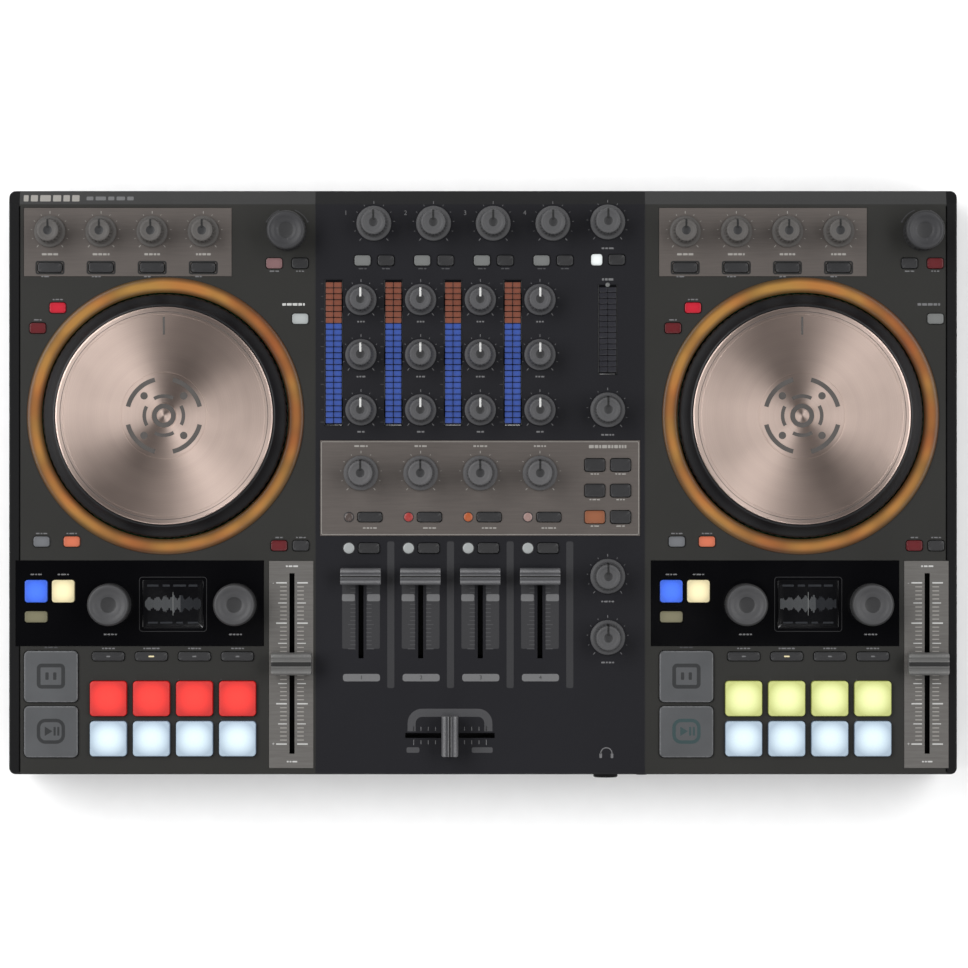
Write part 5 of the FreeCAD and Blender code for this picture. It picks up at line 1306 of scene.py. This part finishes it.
# power inlet: a black block with a round mouth and a pin
px, pz = 262.0, SOCKET_Z - 1.0
mouth = [(2.9 * math.cos(TAU * i / 48), 2.9 * math.sin(TAU * i / 48)) for i in range(48)]
side_pts = []
for i in range(48):
    c, q = math.cos(TAU * i / 48), math.sin(TAU * i / 48)
    k = 5.4 / max(abs(c), abs(q))
    side_pts.append((c * k, q * k))
loops = []
for pts, y in ((mouth, REAR - 10.0), (side_pts, REAR - 10.0), (side_pts, REAR - 0.1), ([(a * 0.985, b * 0.985) for a, b in side_pts], REAR + 0.0), ([(a * 1.12, b * 1.12) for a, b in mouth], REAR + 0.0), (mouth, REAR - 0.35)):
    loops.append([(px + a, y, pz - b) for a, b in pts])
so.stack(loops + [loops[0]], 1, False, False)
so.turn_y(px, pz, [(0.98, REAR - 9.9), (0.98, REAR - 2.3), (0.75, REAR - 2.02)], 32, 0)
so.turn_y(px, pz, [(2.88, REAR - 10.5), (2.88, REAR - 10.0)], 32, 1)
# USB socket: a folded steel shell round a black tongue
ux, uz = 236.0, SOCKET_Z - 0.45
b_out = [(-6.2, -5.6), (6.2, -5.6), (6.2, 5.6), (-6.2, 5.6)]
shell_in = [(-4.2, -3.85), (4.2, -3.85), (4.2, 2.1), (2.6, 3.85), (-2.6, 3.85), (-4.2, 2.1)]
shell_out = [(-4.6, -4.25), (4.6, -4.25), (4.6, 2.3), (2.85, 4.25), (-2.85, 4.25), (-4.6, 2.3)]
loops = [[(ux + a, y, uz + b) for a, b in pts] for pts, y in ((shell_in, REAR - 15.0), (shell_out, REAR - 15.0), (shell_out, REAR + 0.55), (shell_in, REAR + 0.55))]
so.stack([l[::-1] for l in loops] + [loops[0][::-1]], 0, False, False)
so.block(ux, uz - 0.0, 5.4, 3.0, REAR - 15.0, REAR - 2.5, 1, 0.3)
for k in (-1, 1):
    for j in (-1, 1):
        so.block(ux + 1.3 * k, uz + 1.56 * j, 1.1, 0.16, REAR - 14.0, REAR - 3.0, 4, 0.05)
so.block(ux, uz, 9.0, 8.3, REAR - 15.6, REAR - 15.05, 1, 0.4)
so.build("socket_fittings", [mat_chrome, mat_black, mat_phono_red, mat_phono_white, mat_brass, mat_socket], "case", "socket_metal", 40, replaces=["sockets"])

# rear labels: short bars over each socket
back = Mesh()
for x in (262, 236, 205, 183, 151, 129, 72, 57, 29, 14, -20, -35, -70, -262):
    rng = random.Random(int(x))
    w = rng.uniform(5.0, 9.0)
    for a, b in ((-w / 2, -w / 2 + w * 0.45), (-w / 2 + w * 0.55, w / 2)):
        back.add([(x + p, EDGE + q, z) for q in (-0.02, 0.04) for p, z in ((a, 45.4), (b, 45.4), (b, 46.4), (a, 46.4))],
                 [(0, 1, 2, 3), (7, 6, 5, 4), (4, 5, 1, 0), (5, 6, 2, 1), (6, 7, 3, 2), (7, 4, 0, 3)], 0)
back.build("rear_print", [mat_ink_mid], "case", "panel_plastic", 35)

# small print on the rear slope, at the left
slope = Mesh()
for k, (x, w) in enumerate(((-285.0, 3.0), (-280.6, 4.4), (-274.8, 6.6), (-266.8, 5.0), (-260.4, 4.0), (-255.0, 4.6), (-246.0, 4.2), (-240.4, 6.4), (-232.6, 3.8), (-227.4, 5.2), (-220.8, 4.0))):
    y0, y1 = (175.9, 179.9) if k < 6 else (176.6, 179.0)
    pts = []
    for x_, y_ in round_rect(w, y1 - y0, 0.5, 3, x + w / 2, (y0 + y1) / 2):
        pts.append((x_, y_))
    n = len(pts)
    zs = lambda y, up: 54.0 - 3.0 * (y - 174.5) / 8.0 + up
    verts = [(a, b, zs(b, -0.03)) for a, b in pts] + [(a, b, zs(b, 0.05)) for a, b in pts]
    faces = [tuple(range(n - 1, -1, -1)), tuple(range(n, 2 * n))] + [(i, (i + 1) % n, n + (i + 1) % n, n + i) for i in range(n)]
    slope.add(verts, faces, 0 if k < 6 else 1)
slope.build("slope_print", [mat_ink_warm, mat_ink_mid], "case", "panel_plastic", 35)

# ------------------------------------------------------------------ floor, light, camera
floor_mat = Mat("floor_paper")
fn = floor_mat.noise(60.0, 3.0, 0.5)
floor_mat.set("Base Color", floor_mat.mix(floor_mat.ranged(fn, 0.3, 0.7, 0.0, 1.0), (0.80, 0.80, 0.80), (0.82, 0.82, 0.82)))
floor_mat.set("Roughness", floor_mat.ranged(fn, 0.3, 0.7, 0.78, 0.88))
floor_mat.set("Specular IOR Level", 0.15)
me = bpy.data.meshes.new("floor")
me.from_pydata([(-4, -4, 0), (4, -4, 0), (4, 4, 0), (-4, 4, 0)], [], [(0, 1, 2, 3)])
me.materials.append(floor_mat.m)
floor = bpy.data.objects.new("floor", me)
bpy.context.scene.collection.objects.link(floor)

world = bpy.data.worlds.new("studio")
bpy.context.scene.world = world
world.use_nodes = True
nt = world.node_tree
bg = nt.nodes["Background"]
tc = nt.nodes.new("ShaderNodeTexCoord")
sep = nt.nodes.new("ShaderNodeSeparateXYZ")
ramp = nt.nodes.new("ShaderNodeValToRGB")
nt.links.new(tc.outputs["Generated"], sep.inputs[0])
nt.links.new(sep.outputs[2], ramp.inputs[0])
cr = ramp.color_ramp
cr.elements[0].position = 0.0
cr.elements[0].color = (0.55, 0.55, 0.56, 1)
cr.elements[1].position = 1.0
cr.elements[1].color = (0.02, 0.02, 0.022, 1)
for p, v in ((0.35, 0.62), (0.62, 0.50), (0.80, 0.20), (0.90, 0.04)):
    e = cr.elements.new(p)
    e.color = (v, v, v * 1.01, 1)
nt.links.new(ramp.outputs[0], bg.inputs["Color"])
bg.inputs["Strength"].default_value = 1.0


def softbox(name, azimuth, elevation, distance, w, h, power, tint=(1, 1, 1)):
    li = bpy.data.lights.new(name, "AREA")
    li.shape = "RECTANGLE"
    li.size, li.size_y = w, h
    li.energy = power
    li.color = tint
    o = bpy.data.objects.new(name, li)
    a, e = math.radians(azimuth), math.radians(elevation)
    o.location = (distance * math.cos(e) * math.cos(a), distance * math.cos(e) * math.sin(a), distance * math.sin(e))
    d = Vector((0, 0, 0.05)) - o.location
    o.rotation_euler = d.to_track_quat("-Z", "Y").to_euler()
    bpy.context.scene.collection.objects.link(o)
    return o


softbox("key_softbox", 159, 44.2, 2.2, 2.4, 1.1, 58)
softbox("fill_softbox", 12, 48.5, 2.3, 2.2, 1.0, 41)
softbox("front_softbox", -100, 30, 2.4, 1.6, 0.6, 9)
# small and close, in front of the middle: each turned plate shows it from its own side, so their fans mirror
softbox("top_softbox", -90, 77.5, 2.336, 0.27, 0.16, 4.6)

scene = bpy.context.scene
scene.view_settings.view_transform = "Standard"
cam = bpy.data.cameras.new("camera")
cam.sensor_width = 36.0
cam.lens = 149.9
cam.dof.use_dof = False
cam.clip_start = 0.05
cam.clip_end = 20.0
co = bpy.data.objects.new("camera", cam)
co.location = (0.0006, 0.0006, 2.5 + TOP * M)
co.rotation_euler = (0.0, 0.0, 0.0)
scene.collection.objects.link(co)
scene.camera = co
